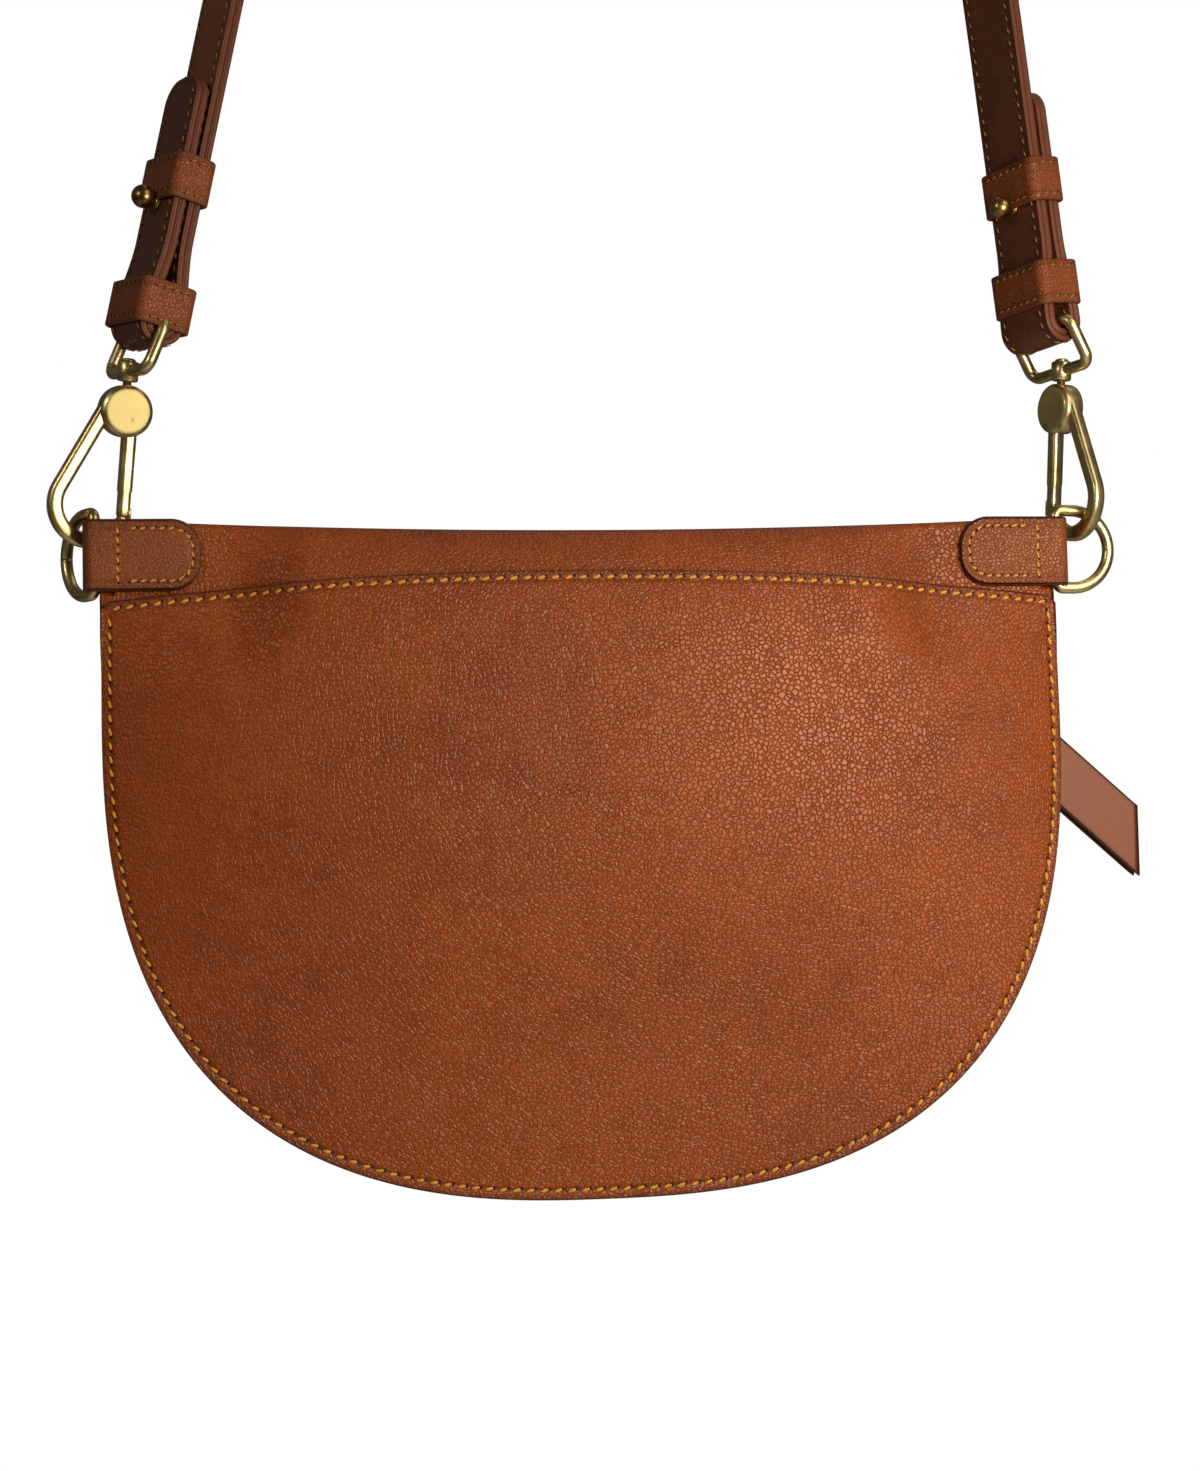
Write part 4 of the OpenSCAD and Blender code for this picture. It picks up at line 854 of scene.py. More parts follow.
# %% [markdown]
# ## Leather tabs and rings
# Each tab is one strip that folds round the ring's bar, with the bag's top corner between its two legs. Thread runs
# round its inner end and down beside the ring.

# %% Tabs
TAB_T, TAB_R, TAB_IN, TAB_BEND = 1.95, 8.0, 2.1, 3.1
TAB_LOW = np.array([0.0, 0.0, -0.9])
TAB_SEAM_U = 6.6


def tab_press(u):
    """Depth of the pressed line beside the ring and of the soft hollow after it."""
    return 0.25 * np.exp(-((u - TAB_SEAM_U) / 1.6) ** 2) + 0.18 * np.exp(-((u - 10.0) / 5.0) ** 2)


def tab_half(u):
    """Half height of the tab at the distance u from the ring's axis along the leg."""
    over = np.clip(u - (TAB_LEN - TAB_R), 0, TAB_R)
    return TAB_H / 2 - TAB_R + np.sqrt(np.maximum(TAB_R ** 2 - over ** 2, 0))


def tab_strip(side):
    leg_u = TAB_LEN - 0.02 - (TAB_LEN - 0.3) * (1 - np.cos(np.linspace(0, pi / 2, 34)))
    leg_u = leg_u[leg_u > 0.2]
    arc = np.linspace(-pi / 2, pi / 2, 25)
    path = [(u, -TAB_LOOP_R) for u in leg_u] + [(-TAB_BEND * cos(a), TAB_LOOP_R * sin(a)) for a in arc]
    path += [(u, TAB_LOOP_R) for u in leg_u[::-1]]
    rows = np.linspace(-1, 1, 21)
    rows = np.sign(rows) * (1 - (1 - np.abs(rows)) ** 1.5)
    g = np.zeros((len(path), len(rows), 3))
    e = np.zeros((len(path), len(rows)))
    for i, (u, y) in enumerate(path):
        h = tab_half(max(u, 0.0))
        yy = y - np.sign(y) * tab_press(u) if u > 0 else y
        z = rows * h
        g[i] = np.stack([np.full(len(rows), -side * u), np.full(len(rows), yy), z], -1)
        end = TAB_LEN - u if u > 0 else 99.0
        e[i] = np.minimum(h - np.abs(z), end)
    return g + RING_AT[side] + TAB_LOW, e


for side, label in SIDES.items():
    g, e = tab_strip(side)
    v, f, mi, ed = shell_data(g, TAB_T, flip=float(side), edge=e)
    tab = add_piece("tab_leather_" + label, v, f, [M_TRIM, M_EDGE], "bag", ["tab_" + label], mi, ed)
    seams = []
    for y in (-1, 1):
        u = np.concatenate([np.linspace(9.6, TAB_LEN - TAB_R, 40), TAB_LEN - TAB_R + (TAB_R - TAB_IN) *
                            np.sin(np.linspace(0, pi / 2, 30))[1:]])
        hz = np.concatenate([np.full(40, TAB_H / 2 - TAB_IN), TAB_H / 2 - TAB_R + (TAB_R - TAB_IN) *
                             np.cos(np.linspace(0, pi / 2, 30))[1:]])
        ring = np.concatenate([np.stack([u, hz], -1), np.stack([u, -hz], -1)[::-1]])
        down = np.stack([np.full(30, TAB_SEAM_U), np.linspace(TAB_H / 2 - 1.4, -TAB_H / 2 + 1.4, 30)], -1)
        for line in (ring, down):
            lift = TAB_LOOP_R - tab_press(line[:, 0])
            p = np.stack([-side * line[:, 0], y * lift, line[:, 1]], -1) + RING_AT[side] + TAB_LOW
            pts, way = along(p, 2.6)
            seams.append((pts, way, np.tile([0.0, float(y), 0.0], (len(pts), 1))))
    sew("tab_stitches_" + label, seams, "bag", length=1.9, width=0.7, rise=0.55)
print("tabs:", len(tab.data.polygons), "faces each")

# %% Rings
def rounded_path(corners, bends, step=0.4):
    """Closed path in the plane through corners that are rounded by bends."""
    pts = []
    n = len(corners)
    for i in range(n):
        c = np.asarray(corners[i], float)
        a = unit(np.asarray(corners[i - 1], float) - c)
        b = unit(np.asarray(corners[(i + 1) % n], float) - c)
        half = acos(np.clip(np.dot(a, b), -1, 1)) / 2
        r = bends[i]
        centre = c + unit(a + b) * r / sin(half)
        start, end = c + a * r / tan(half) - centre, c + b * r / tan(half) - centre
        turn = pi - 2 * half
        count = max(6, int(r * turn / step))
        for k in range(count + 1):
            t = k / count
            pts.append(centre + (start * sin((1 - t) * turn) + end * sin(t * turn)) / sin(turn)
                       if sin(turn) > 1e-6 else c)
    return np.array(pts)


def tube(path3, normal, section):
    """Frames of a closed path for sweep_data, with the second direction fixed along normal."""
    p = np.asarray(path3)
    keep = [i for i in range(len(p)) if np.linalg.norm(p[i] - p[i - 1]) > 1e-4]
    p = p[keep]
    frames = []
    for i in range(len(p)):
        t = unit(p[(i + 1) % len(p)] - p[i - 1])
        frames.append((p[i], unit(np.cross(t, normal)), normal))
    return sweep_data(frames, section, closed=True)


for side, label in SIDES.items():
    flat = rounded_path([(0, -RING_HALF), (RING_ARM + RING_HALF, -RING_HALF), (RING_ARM + RING_HALF, RING_HALF),
                         (0, RING_HALF)], [2.0, RING_HALF - 0.01, RING_HALF - 0.01, 2.0])
    path3 = RING_AT[side] + flat[:, :1] * RING_DIR[side] + flat[:, 1:] * Z
    v, f = tube(path3, np.cross(RING_DIR[side], Z), circle_section(WIRE_R, 20))
    ring = add_piece("d_ring_" + label, v, f, [M_BRASS], "ring_" + label, ["dring_" + label])
print("rings:", len(ring.data.polygons), "faces each")

# %% [markdown]
# ## Snap hooks
# Each hook has a bar that runs down from the drum and round the bow, a spring gate on a pin, the drum with its
# bevelled faces, and a swivel rivet. The eye is one wire frame with a barrel that turns on the rivet.

# %% Hooks
def hook_point(side, u, w, v):
    return DRUM_AT[side] + u * HOOK_SIDE[side] + w * HOOK_FACE[side] + v * HOOK_UP[side]


SPINE_A = radians(153.8)
spine_start = np.array([-BOW_U + BOW_R * cos(SPINE_A), -BOW_V + BOW_R * sin(SPINE_A)])
spine_dir = np.array([sin(SPINE_A), -cos(SPINE_A)])
spine_len = (0.15 * 2 * DRUM_R - spine_start[1]) / spine_dir[1]
END_A = radians(341.3)


def hook_bar_path():
    pts = [spine_start + spine_dir * spine_len * t for t in np.linspace(1, 0, 24)[:-1]]
    arc = np.linspace(SPINE_A, END_A, 72)
    return np.array(pts + [(-BOW_U + BOW_R * cos(a), -BOW_V + BOW_R * sin(a)) for a in arc])


for side, label in SIDES.items():
    side_v, face_v, up_v = HOOK_SIDE[side], HOOK_FACE[side], HOOK_UP[side]
    path = hook_bar_path()
    frames = []
    for i, p in enumerate(path):
        d = unit(path[min(i + 1, len(path) - 1)] - path[max(i - 1, 0)])
        left = np.array([-d[1], d[0]])
        swell_share = 1.0 + 0.06 * exp(-((i - 60) / 14.0) ** 2)
        tip = min(1.0, (len(path) - 1 - i) / 4.0 + 0.45)
        a = (left[0] * side_v + left[1] * up_v) * swell_share * (0.75 + 0.25 * tip)
        frames.append((hook_point(side, p[0], 0, p[1]), a, face_v * (0.8 + 0.2 * tip)))
    bar = sweep_data(frames, round_section(BAR_T, BAR_W, BAR_R, 5))
    tongue_at = hook_point(side, GATE_U + GATE_T / 2 - 0.45, 0, -GATE_END + 0.2)
    tongue = sweep_data([(tongue_at - up_v * 1.2, side_v, face_v), (tongue_at + up_v * 2.6, side_v, face_v),
                         (tongue_at + up_v * 3.1, side_v * 0.6, face_v * 0.85)], round_section(0.9, 3.6, 0.4, 3))
    v, f = joined(bar, tongue)
    add_piece("hook_bar_metal_" + label, v, f, [M_BRASS], "hook_" + label, ["hook_bar_" + label])

    face_r, half = DRUM_R - 0.9, DRUM_W / 2
    prof = [(-half, 0), (-half, face_r * 0.5), (-half, face_r - 1.0), (-half, face_r - 0.2),
            (-half + 0.12, face_r), (-half + 0.75, DRUM_R - 0.12), (-half + 1.0, DRUM_R)]
    prof += [(-h, r) for h, r in prof[::-1]]
    dv, df = lathe_data(DRUM_AT[side], face_v, prof, 56)
    mi = []
    for q in df:
        c = np.mean([dv[i] for i in q], axis=0) - DRUM_AT[side]
        depth = c @ face_v
        flat_face = abs(depth) > half - 0.26 and np.linalg.norm(c - depth * face_v) < face_r - 0.15
        mi.append(1 if len(q) == 3 or flat_face else 0)
    add_piece("hook_drum_metal_" + label, dv, df, [M_BRASS, M_FACE], "hook_" + label,
              ["hook_drum_" + label], mi)

    gp = []
    for v_at, w_share, t_share in ((-PIN_V + 1.2, 0.92, 0.9), (-PIN_V - 1.0, 1, 1), (-8.0, 1, 1), (-14.0, 1, 0.98),
                                   (-21.8, 1, 0.98), (-22.4, 0.96, 0.86), (-26.8, 0.96, 0.86), (-28.6, 0.94, 0.84),
                                   (-GATE_END + 0.3, 0.8, 0.66)):
        gp.append((hook_point(side, GATE_U, 0, v_at), side_v * t_share, face_v * w_share))
    gp = gp[::-1]
    gate = sweep_data(gp, round_section(GATE_T, BAR_W, BAR_R, 5))
    knuckle = lathe_data(hook_point(side, GATE_U, 0, -PIN_V), face_v,
                         [(-BAR_W / 2, 0), (-BAR_W / 2, GATE_T / 2 - 0.2), (-BAR_W / 2 + 0.2, GATE_T / 2),
                          (BAR_W / 2 - 0.2, GATE_T / 2), (BAR_W / 2, GATE_T / 2 - 0.2), (BAR_W / 2, 0)], 28)
    v, f = joined(gate, knuckle)
    add_piece("gate_metal_" + label, v, f, [M_BRASS], "gate_" + label, ["hook_gate_" + label])

    flat = rounded_path([(-EYE_W / 2 - WIRE_R, 0), (EYE_W / 2 + WIRE_R, 0), (EYE_W / 2 + WIRE_R, EYE_RISE),
                         (-EYE_W / 2 - WIRE_R, EYE_RISE)], [EYE_BEND] * 4)
    path3 = BARREL_AT[side] + flat[:, :1] * STRAP_ACROSS[side] + flat[:, 1:] * EYE_UP[side]
    wire = tube(path3, np.cross(STRAP_ACROSS[side], EYE_UP[side]), circle_section(WIRE_R, 20))
    h = BARREL_H / 2
    barrel = lathe_data(BARREL_AT[side], up_v, [(-h, 1.25), (-h, BARREL_R - 0.4), (-h + 0.35, BARREL_R),
                                                 (h - 0.35, BARREL_R), (h, BARREL_R - 0.4), (h, 1.25)], 36)
    v, f = joined(wire, barrel)
    add_piece("eye_metal_" + label, v, f, [M_BRASS], "eye_" + label, ["hook_eye_" + label])
    top = BARREL_V + h + 0.05
    rv, rf = lathe_data(DRUM_AT[side], up_v, [(3.65, 0), (3.65, 1.2), (top, 1.2), (top, 1.9), (top + 0.45, 1.9),
                                               (top + 0.8, 1.1), (top + 0.8, 0)], 30)
    add_piece("rivet_metal_" + label, rv, rf, [M_BRASS], "hook_" + label, ["swivel_rivet_" + label])
    paint_nodes(M_BRASS, "gate_pin_" + label, "gate_spring_" + label)
print("hooks done")

# %% [markdown]
# ## Strap
# The strap is two plies of leather, glued and sewn along both edges. It leaves the rail along a tangent, twists as
# it comes down, folds round the swivel eye and lies back along its own outer side, where two loops keep it.

# %% Strap plies
def pair_y(h):
    return BEND_MID + (CLOSED_Y - BEND_MID) * ease(h / TAIL_CLOSE)


def strap_point(side, y, h):
    return FOLD_AT[side] + y * STRAP_OUT[side] + h * STRAP_UP[side]


def end_line(side):
    """Points, width directions, face directions and half widths from the strap's end, round the fold, to the rail."""
    w, n, u = STRAP_ACROSS[side], STRAP_OUT[side], STRAP_UP[side]
    line = []
    for a in np.linspace(pi / 2, 0, 14)[:-1]:
        line.append((strap_point(side, CLOSED_Y, TAIL[side] + TIP_R * (sin(a) - 1)), w, -n, TIP_R * (1 - cos(a))))
    line += [(strap_point(side, pair_y(h), h), w, -n, 0) for h in np.linspace(TAIL[side] - TIP_R, 1.0, 36)]
    for a in np.linspace(0, pi, 26):
        r = cos(a) * n - sin(a) * u
        line.append((FOLD_AT[side] + BEND_MID * r, w, -r, 0))
    top = TAIL[side] + KEEP_H
    for h in np.linspace(2.0, top - 2, 36):
        line.append((strap_point(side, -pair_y(h), h), w, n, 0))
    a, b = strap_point(side, -CLOSED_Y, top), SADDLE_R * LEAVE_OUT[side]
    reach = np.linalg.norm(b - a)
    start, end = reach * u, reach * side * np.array([-LEAVE_OUT[side][2], 0, LEAVE_OUT[side][0]])
    for t in np.linspace(0, 1, 120)[:-1]:
        q = 1 - t
        way = unit(6 * t * q * (b - a) + q * (q - 2 * t) * start + t * (t - 2 * q) * end)
        tw = flat_to(w * (1 - ease(t)) + np.array([0, -1.0, 0]) * ease(t), way)
        face = side * np.cross(way, tw)
        give = 0.5 * sin(pi * t) ** 2 * sin(3.1 * t + 0.7 * side)
        at = q * q * (1 + 2 * t) * a + t * t * (3 - 2 * t) * b + t * q * (q * start - t * end)
        line.append((at + face * give, tw, face, 0))
    return line


saddle = []
for a in np.linspace(LEAVE[-1], LEAVE[1], 50):
    out = np.array([cos(a), 0, sin(a)])
    saddle.append((SADDLE_R * out, np.array([0, -1.0, 0]), out, 0))
CENTRE = end_line(-1) + saddle + end_line(1)[::-1]
C_P, C_W, C_N = (np.array([c[k] for c in CENTRE]) for k in range(3))
C_HALF = STRAP_W / 2 - np.array([c[3] for c in CENTRE])
cross_w = np.linspace(-1, 1, 25)
cross_w = np.sign(cross_w) * (1 - (1 - np.abs(cross_w)) ** 1.4)
inset = C_HALF - 0.25
run_s = np.concatenate([[0], np.cumsum(np.linalg.norm(np.diff(C_P, axis=0), axis=1))])
from_end = np.minimum(run_s, run_s[-1] - run_s)
edge_w = inset[:, None] * (1 - np.abs(cross_w))[None, :]
strap_edge = np.minimum(edge_w + 0.25, from_end[:, None] + 0.4)
dome = 0.22 * (1 - cross_w ** 2)[None, :, None]
for ply_name, low, high, sign, cad in (("strap_face_leather", 0.03, PLY, 1, "strap_face_ply"),
                                       ("strap_back_leather", -PLY, 0.0, -1, "strap_lining_ply")):
    outer = high if sign > 0 else low
    g = C_P[:, None] + inset[:, None, None] * cross_w[None, :, None] * C_W[:, None] \
        + (outer + sign * (dome - 0.22)) * C_N[:, None]
    v, f, mi, ed = shell_data(g, PLY - 0.3, flip=-float(sign), edge=strap_edge)
    # the back ply gets the darker leather, partly painted shade
    add_piece(ply_name, v, f, [M_STRAP if sign > 0 else M_INNER_SHADED, M_EDGE], "strap", [cad],
              mi, ed)
print("strap length %.0f mm" % run_s[-1])

# %% Strap stitches
strap_seams = []
for s in (-1, 1):
    for sign in (-1, 1):
        keep = (from_end > 2.5)
        line = C_P[keep] + s * (C_HALF[keep, None] - 2.2) * C_W[keep] + sign * (PLY - 0.05) * C_N[keep]
        pts, way = along(line, 3.6)
        near = np.array([np.argmin(np.sum((C_P[keep] - p) ** 2, axis=1)) for p in pts])
        strap_seams.append((pts, way, sign * C_N[keep][near]))
sew("strap_stitches", strap_seams, "strap", length=2.1, width=0.55, rise=0.42, paint=M_THREAD_DARK)
print("strap stitches:", sum(len(s[0]) for s in strap_seams))

# %% Keepers
KEEPERS = {(-1, "lower"): 11.0, (-1, "upper"): 47.0, (1, "lower"): 17.0, (1, "upper"): 47.0}
for (side, place), h in KEEPERS.items():
    centre = strap_point(side, 0, h - KEEP_H / 2)
    wx = STRAP_W / 2 + KEEP_GAP + KEEP_T / 2
    wy = pair_y(h - KEEP_H / 2) + PLY + KEEP_GAP + KEEP_T / 2
    flat = rounded_path([(-wx, -wy), (wx, -wy), (wx, wy), (-wx, wy)], [KEEP_T / 2 + 1.5] * 4, step=0.25)
    path3 = [centre + p[0] * STRAP_ACROSS[side] + p[1] * STRAP_OUT[side] for p in flat]
    dense = []
    for i, p in enumerate(path3):
        q = path3[(i + 1) % len(path3)]
        n = max(1, int(np.linalg.norm(q - p) / 0.7))
        dense += [p + (q - p) * k / n for k in range(n)]
    normal = STRAP_UP[side]
    sec = round_section(KEEP_T, KEEP_H, 0.6, 4)
    rows = []
    for a, b in zip(sec, sec[1:] + sec[:1]):
        n = 8 if abs(b[1] - a[1]) > 4 else 1
        rows += [(a[0] + (b[0] - a[0]) * k / n, a[1] + (b[1] - a[1]) * k / n) for k in range(n)]
    v, f = tube(dense, normal, rows)
    count = len(v) // len(rows)
    ed = np.tile([KEEP_H / 2 - abs(r[1]) for r in rows], count)
    mi = [1 if np.mean([abs(rows[i % len(rows)][1]) for i in q]) > KEEP_H / 2 - 0.35 else 0 for q in f]
    add_piece(f"keeper_leather_{SIDES[side]}_{place}", v, f, [M_TRIM, M_EDGE],
              f"keeper_{SIDES[side]}_{place}_loop", [f"keeper_{SIDES[side]}_{place}"], mi, ed)
    seams = []
    for zz in (-1, 1):
        for s, axis_v, half, span, out_v in ((1, STRAP_ACROSS[side], wy, wx, STRAP_OUT[side]),
                                             (-1, STRAP_ACROSS[side], wy, wx, STRAP_OUT[side]),
                                             (1, STRAP_OUT[side], wx, wy, STRAP_ACROSS[side]),
                                             (-1, STRAP_OUT[side], wx, wy, STRAP_ACROSS[side])):
            line = [centre + t * (span - 2.4) * axis_v + s * (half + KEEP_T / 2) * out_v
                    + zz * (KEEP_H / 2 - 1.9) * normal for t in np.linspace(-1, 1, 12)]
            pts, way = along(line, 2.9)
            seams.append((pts, way, np.tile(s * out_v, (len(pts), 1))))
    sew(f"keeper_stitches_{SIDES[side]}_{place}", seams, f"keeper_{SIDES[side]}_{place}_loop",
        length=1.9, width=0.55, rise=0.42, paint=M_THREAD_DARK)
print("keepers:", len(KEEPERS))

# %% Ball studs
BALL_R = 3.25
for side, label in SIDES.items():
    reach = CLOSED_Y + PLY + 0.2
    ball = reach + 1.2 + BALL_R
    prof = [(-reach + 0.05, 0), (-reach + 0.05, 1.3), (reach, 1.3), (reach, 2.0), (reach + 0.25, 2.1),
            (reach + 0.5, 1.6)]
    prof += [(ball - BALL_R * cos(a), BALL_R * sin(a)) for a in np.linspace(0.52, pi, 22)]
    v, f = lathe_data(strap_point(side, 0, STUD_H[side]), STRAP_OUT[side] * (1 if side < 0 else -1), prof, 40)
    add_piece("stud_metal_" + label, v, f, [M_STUD], "strap", ["strap_stud_" + label])
    paint_nodes(M_STUD, "stud_screw_" + label)
print("studs done")

# %% [markdown]
# ## Zip
# The teeth are one small block, set along both tapes by the same kind of node group as the stitches. The slider
# runs along them and carries the pull ring and the long two-layer leather puller.

# %% Zip teeth and slider
TAPE_Y = ZIP_Y - PANEL_T - 0.3 - 0.3
for s, cad in ((1, "zip_teeth_upper"), (-1, "zip_teeth_lower")):
    xs = np.arange(-ZIP_HALF + 2.4, ZIP_HALF - 2.4, 2.0) + (0.5 if s > 0 else 1.5)
    p = np.stack([xs, np.full(len(xs), TAPE_Y), np.full(len(xs), -ZIP_D + s * 1.75)], -1) + BAG_AT
    n = len(p)
    sew("teeth_" + ("upper" if s > 0 else "lower"), [(p, np.tile([1.0, 0, 0], (n, 1)), np.tile([0, 1.0, 0], (n, 1)))],
        "bag", length=1.05, width=2.6, rise=2.5, lift=0.0, slant=0.0, shape=TEETH, paint=M_BRASS,
        replaces=[cad])
paint_nodes(M_BRASS, "zip_top_stop", "zip_bottom_stop")
SLIDER_AT = BAG_AT + np.array([106.5, 0, -ZIP_D])
slide_front, slide_back = TAPE_Y + 1.3 + 0.15, TAPE_Y - 1.3 - 0.15
X, Y = np.array([1.0, 0, 0]), np.array([0, 1.0, 0])
plates = []
for y in (slide_front + 0.6, slide_back - 0.6):
    rows = [(x, w) for x, w in ((-5.5, 0.55), (-5.2, 0.7), (-4.4, 0.8), (0, 0.86), (3.4, 1.0), (4.9, 1.0), (5.4, 0.9),
                                (5.5, 0.8))]
    plates.append(sweep_data([(SLIDER_AT + x * X + y * Y, -Z * w, Y) for x, w in rows],
                             round_section(8.2, 1.2, 0.5, 4)))
plates.append(sweep_data([(SLIDER_AT + x * X + (slide_front + slide_back) / 2 * Y, -Z, Y) for x in (-5.2, 5.2)],
                         round_section(0.7, slide_front - slide_back + 0.4, 0.2, 2)))
bridge = []
for t in np.linspace(0, pi, 20):
    up = max(0.0, sin(t)) ** 0.55
    p = SLIDER_AT + X * (-3.15 * cos(t)) + Y * (slide_front + 0.9 + 4.45 * up)
    d = unit(np.array([sin(t) * 3.15 + 1e-3, 4.45 * cos(t), 0]))
    bridge.append((p, np.cross(d, Z), Z))
plates.append(sweep_data(bridge, round_section(1.0, 1.8, 0.3, 3)))
v, f = joined(*plates)
add_piece("slider_metal", v, f, [M_BRASS], "slider", ["zip_slider"])

# %% Pull ring and leather puller
PULL_A = radians(42)
PULL_ALONG = np.array([cos(PULL_A), 0, -sin(PULL_A)])
PULL_ACROSS = np.array([sin(PULL_A), 0, cos(PULL_A)])
PULL_AT = SLIDER_AT + Y * (ZIP_Y + 4)
PULL_FAR = PULL_AT + 12.0 * PULL_ALONG
flat = rounded_path([(0, -3.1), (6, -9.3), (12, -9.3), (12, 9.3), (6, 9.3), (0, 3.1)], [0.9, 1.6, 0.9, 0.9, 1.6, 0.9],
                    step=0.3)
path3 = PULL_AT + flat[:, :1] * PULL_ALONG + flat[:, 1:] * PULL_ACROSS
v, f = tube(path3, np.cross(PULL_ALONG, PULL_ACROSS), circle_section(0.9, 14))
add_piece("pull_ring_metal", v, f, [M_BRASS], "pull_ring", ["zip_pull_ring"])
PULL_T, PULL_LEN, PULL_W, PULL_HALF = 1.5, 66.0, 15.0, 1.62
bore = 0.96
wide = np.linspace(-1, 1, 21)
wide = np.sign(wide) * (1 - (1 - np.abs(wide)) ** 1.4)
loop_r = bore + PULL_T
s_share = 1 - np.cos(np.linspace(0, pi / 2, 50))


def pull_profile(s):
    return PULL_HALF + (loop_r - PULL_HALF) * (1 - ease(s / 9.0))


g = []
ed = []
end_s = PULL_LEN - wide * (PULL_W / 2) * tan(PULL_A)
for sgn in (-1, 1):
    order = s_share[::-1] if sgn < 0 else s_share
    for sh in order[:-1] if sgn < 0 else order[1:]:
        s = end_s * sh
        g.append(PULL_FAR + s[:, None] * PULL_ALONG + (sgn * pull_profile(s))[:, None] * Y
                 + (wide * PULL_W / 2)[:, None] * PULL_ACROSS)
        ed.append(np.minimum(PULL_W / 2 * (1 - np.abs(wide)), (end_s - s) * cos(PULL_A)))
    if sgn < 0:
        for a in np.linspace(-pi / 2, pi / 2, 21):
            g.append(PULL_FAR + (-loop_r * cos(a)) * PULL_ALONG + loop_r * sin(a) * Y
                     + (wide * PULL_W / 2)[:, None] * PULL_ACROSS)
            ed.append(PULL_W / 2 * (1 - np.abs(wide)))
g, ed = np.array(g), np.array(ed)
v, f, mi, e = shell_data(g, PULL_T, flip=1.0, edge=ed)
add_piece("puller_leather", v, f, [M_TRIM, M_EDGE], "puller", ["leather_puller"], mi, e)
seams = []
for sgn in (-1, 1):
    for edge_sign in (-1, 1):
        w = edge_sign * (PULL_W / 2 - 2.1)
        s = np.linspace(4.5, PULL_LEN - w * tan(PULL_A) - 2.9, 60)
        line = PULL_FAR + s[:, None] * PULL_ALONG + (sgn * pull_profile(s))[:, None] * Y + w * PULL_ACROSS
        pts, way = along(line, 3.5)
        seams.append((pts, way, np.tile(sgn * Y, (len(pts), 1))))
    w = np.linspace(-PULL_W / 2 + 3.0, PULL_W / 2 - 3.0, 20)
    line = (PULL_FAR + (PULL_LEN - w * tan(PULL_A) - 2.9)[:, None] * PULL_ALONG + sgn * PULL_HALF * Y
            + w[:, None] * PULL_ACROSS)
    pts, way = along(line, 3.3)
    seams.append((pts, way, np.tile(sgn * Y, (len(pts), 1))))
sew("puller_stitches", seams, "puller", length=2.8, width=0.8, rise=0.6)
print("zip, pull ring and puller done")

# %% [markdown]
# ## Camera, floor and light
# The camera stands where the photograph was taken, behind the bag. The light comes from the camera's side, strongest
# from the right, with a weak fill and a small light for the strap end on the left.

# %% Camera
cam_data = bpy.data.cameras.new("camera")
cam = bpy.data.objects.new("camera", cam_data)
bpy.context.scene.collection.objects.link(cam)
YAW, PITCH, ROLL, DIST = radians(7.0), radians(3.0), radians(-1.2), 640.0
AIM = np.array([-17.5, 0.0, -620.8])
look = np.array([sin(YAW) * cos(PITCH), cos(YAW) * cos(PITCH), sin(PITCH)])
right_v = np.array([cos(YAW), -sin(YAW), 0.0])
up_v = np.cross(right_v, look)
axis_x = cos(ROLL) * right_v + sin(ROLL) * up_v
axis_y = -sin(ROLL) * right_v + cos(ROLL) * up_v
eye = (AIM - look * DIST) * MM
cam.matrix_world = Matrix(((axis_x[0], axis_y[0], -look[0], eye[0]), (axis_x[1], axis_y[1], -look[1], eye[1]),
                           (axis_x[2], axis_y[2], -look[2], eye[2]), (0, 0, 0, 1)))
cam_data.sensor_fit = "VERTICAL"
cam_data.sensor_height = 24.0
cam_data.lens = 24.0 * (DIST / 0.28) / 1471
cam_data.clip_start, cam_data.clip_end = 0.01, 20.0
bpy.context.scene.camera = cam

# %% Floor and lights
FLOOR_Z = -0.98
me = bpy.data.meshes.new("floor")
me.from_pydata([(-4, -4, FLOOR_Z), (4, -4, FLOOR_Z), (4, 4, FLOOR_Z), (-4, 4, FLOOR_Z)], [], [(0, 1, 2, 3)])
floor = bpy.data.objects.new("floor", me)
bpy.context.scene.collection.objects.link(floor)
mat, nt, bsdf = new_material("floor_white")
bsdf.inputs["Base Color"].default_value = (0.85, 0.85, 0.85, 1)
bsdf.inputs["Roughness"].default_value = 0.9
glow, seen, blend = (nt.nodes.new(kind) for kind in
                     ("ShaderNodeEmission", "ShaderNodeLightPath", "ShaderNodeMixShader"))
nt.links.new(seen.outputs["Is Camera Ray"], blend.inputs[0])
nt.links.new(bsdf.outputs[0], blend.inputs[1])
nt.links.new(glow.outputs[0], blend.inputs[2])
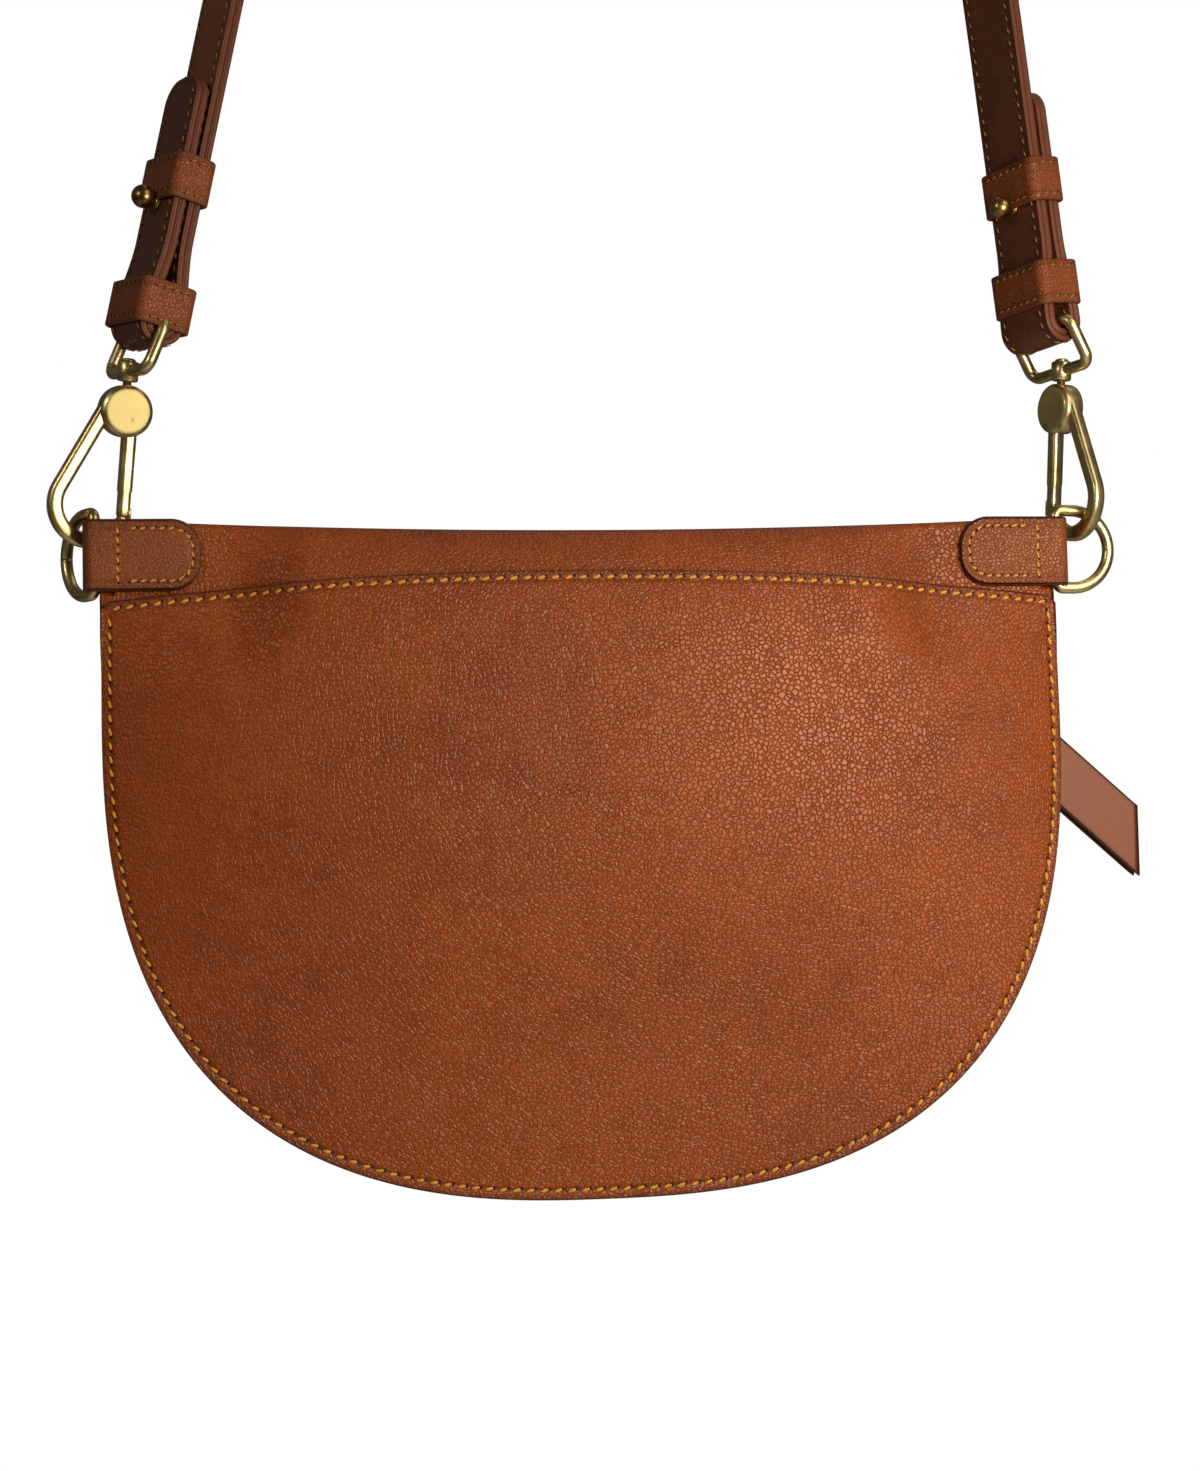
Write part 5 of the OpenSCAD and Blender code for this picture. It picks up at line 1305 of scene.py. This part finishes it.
nt.links.new(blend.outputs[0], nt.nodes["Material Output"].inputs["Surface"])
me.materials.append(mat)

world = bpy.data.worlds.new("studio")
bpy.context.scene.world = world
world.use_nodes = True
wt = world.node_tree
wt.nodes.clear()
out = wt.nodes.new("ShaderNodeOutputWorld")
rays = wt.nodes.new("ShaderNodeLightPath")
lit = None
for ray, strength in ((None, 0.042), ("Is Glossy Ray", 0.09), ("Is Camera Ray", 1.0)):
    level = wt.nodes.new("ShaderNodeBackground")
    level.inputs["Color"].default_value = (1, 1, 1, 1)
    level.inputs["Strength"].default_value = strength
    if ray is None:
        lit = level.outputs[0]
        continue
    pick = wt.nodes.new("ShaderNodeMixShader")
    wt.links.new(rays.outputs[ray], pick.inputs[0])
    wt.links.new(lit, pick.inputs[1])
    wt.links.new(level.outputs[0], pick.inputs[2])
    lit = pick.outputs[0]
wt.links.new(lit, out.inputs["Surface"])


def area_light(name, at, aim, size, power, colour=(1, 1, 1)):
    data = bpy.data.lights.new(name, "AREA")
    data.shape = "RECTANGLE"
    data.size, data.size_y = size
    data.energy = power
    data.color = colour
    ob = bpy.data.objects.new(name, data)
    ob.location = at
    ob.rotation_euler = (Vector(aim) - Vector(at)).to_track_quat("-Z", "Y").to_euler()
    bpy.context.scene.collection.objects.link(ob)
    return ob


area_light("key", (0.2, -0.4, -0.58), (0.05, 0.0, -0.64), (0.2, 0.2), 2.8)
area_light("upper", (0.45, -0.6, -0.05), (0.03, 0.0, -0.5), (0.4, 0.4), 1.7)
area_light("fill", (-0.8, -0.6, -0.2), (0.0, 0.0, -0.5), (0.3, 0.9), 0.35)
area_light("strap side", (-0.45, -0.35, -0.34), (-0.15, 0.0, -0.38), (0.12, 0.12), 0.5)
area_light("top", (0.25, 0.2, 0.25), (0.0, 0.0, -0.55), (0.6, 0.6), 1.1)
bpy.context.scene.view_settings.view_transform = "Standard"
print("camera lens %.1f mm" % cam_data.lens)

# %% Nodes left without a material
for n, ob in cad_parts.items():
    if not ob.data.materials or ob.data.materials[0] is None:
        print("node without material:", n)
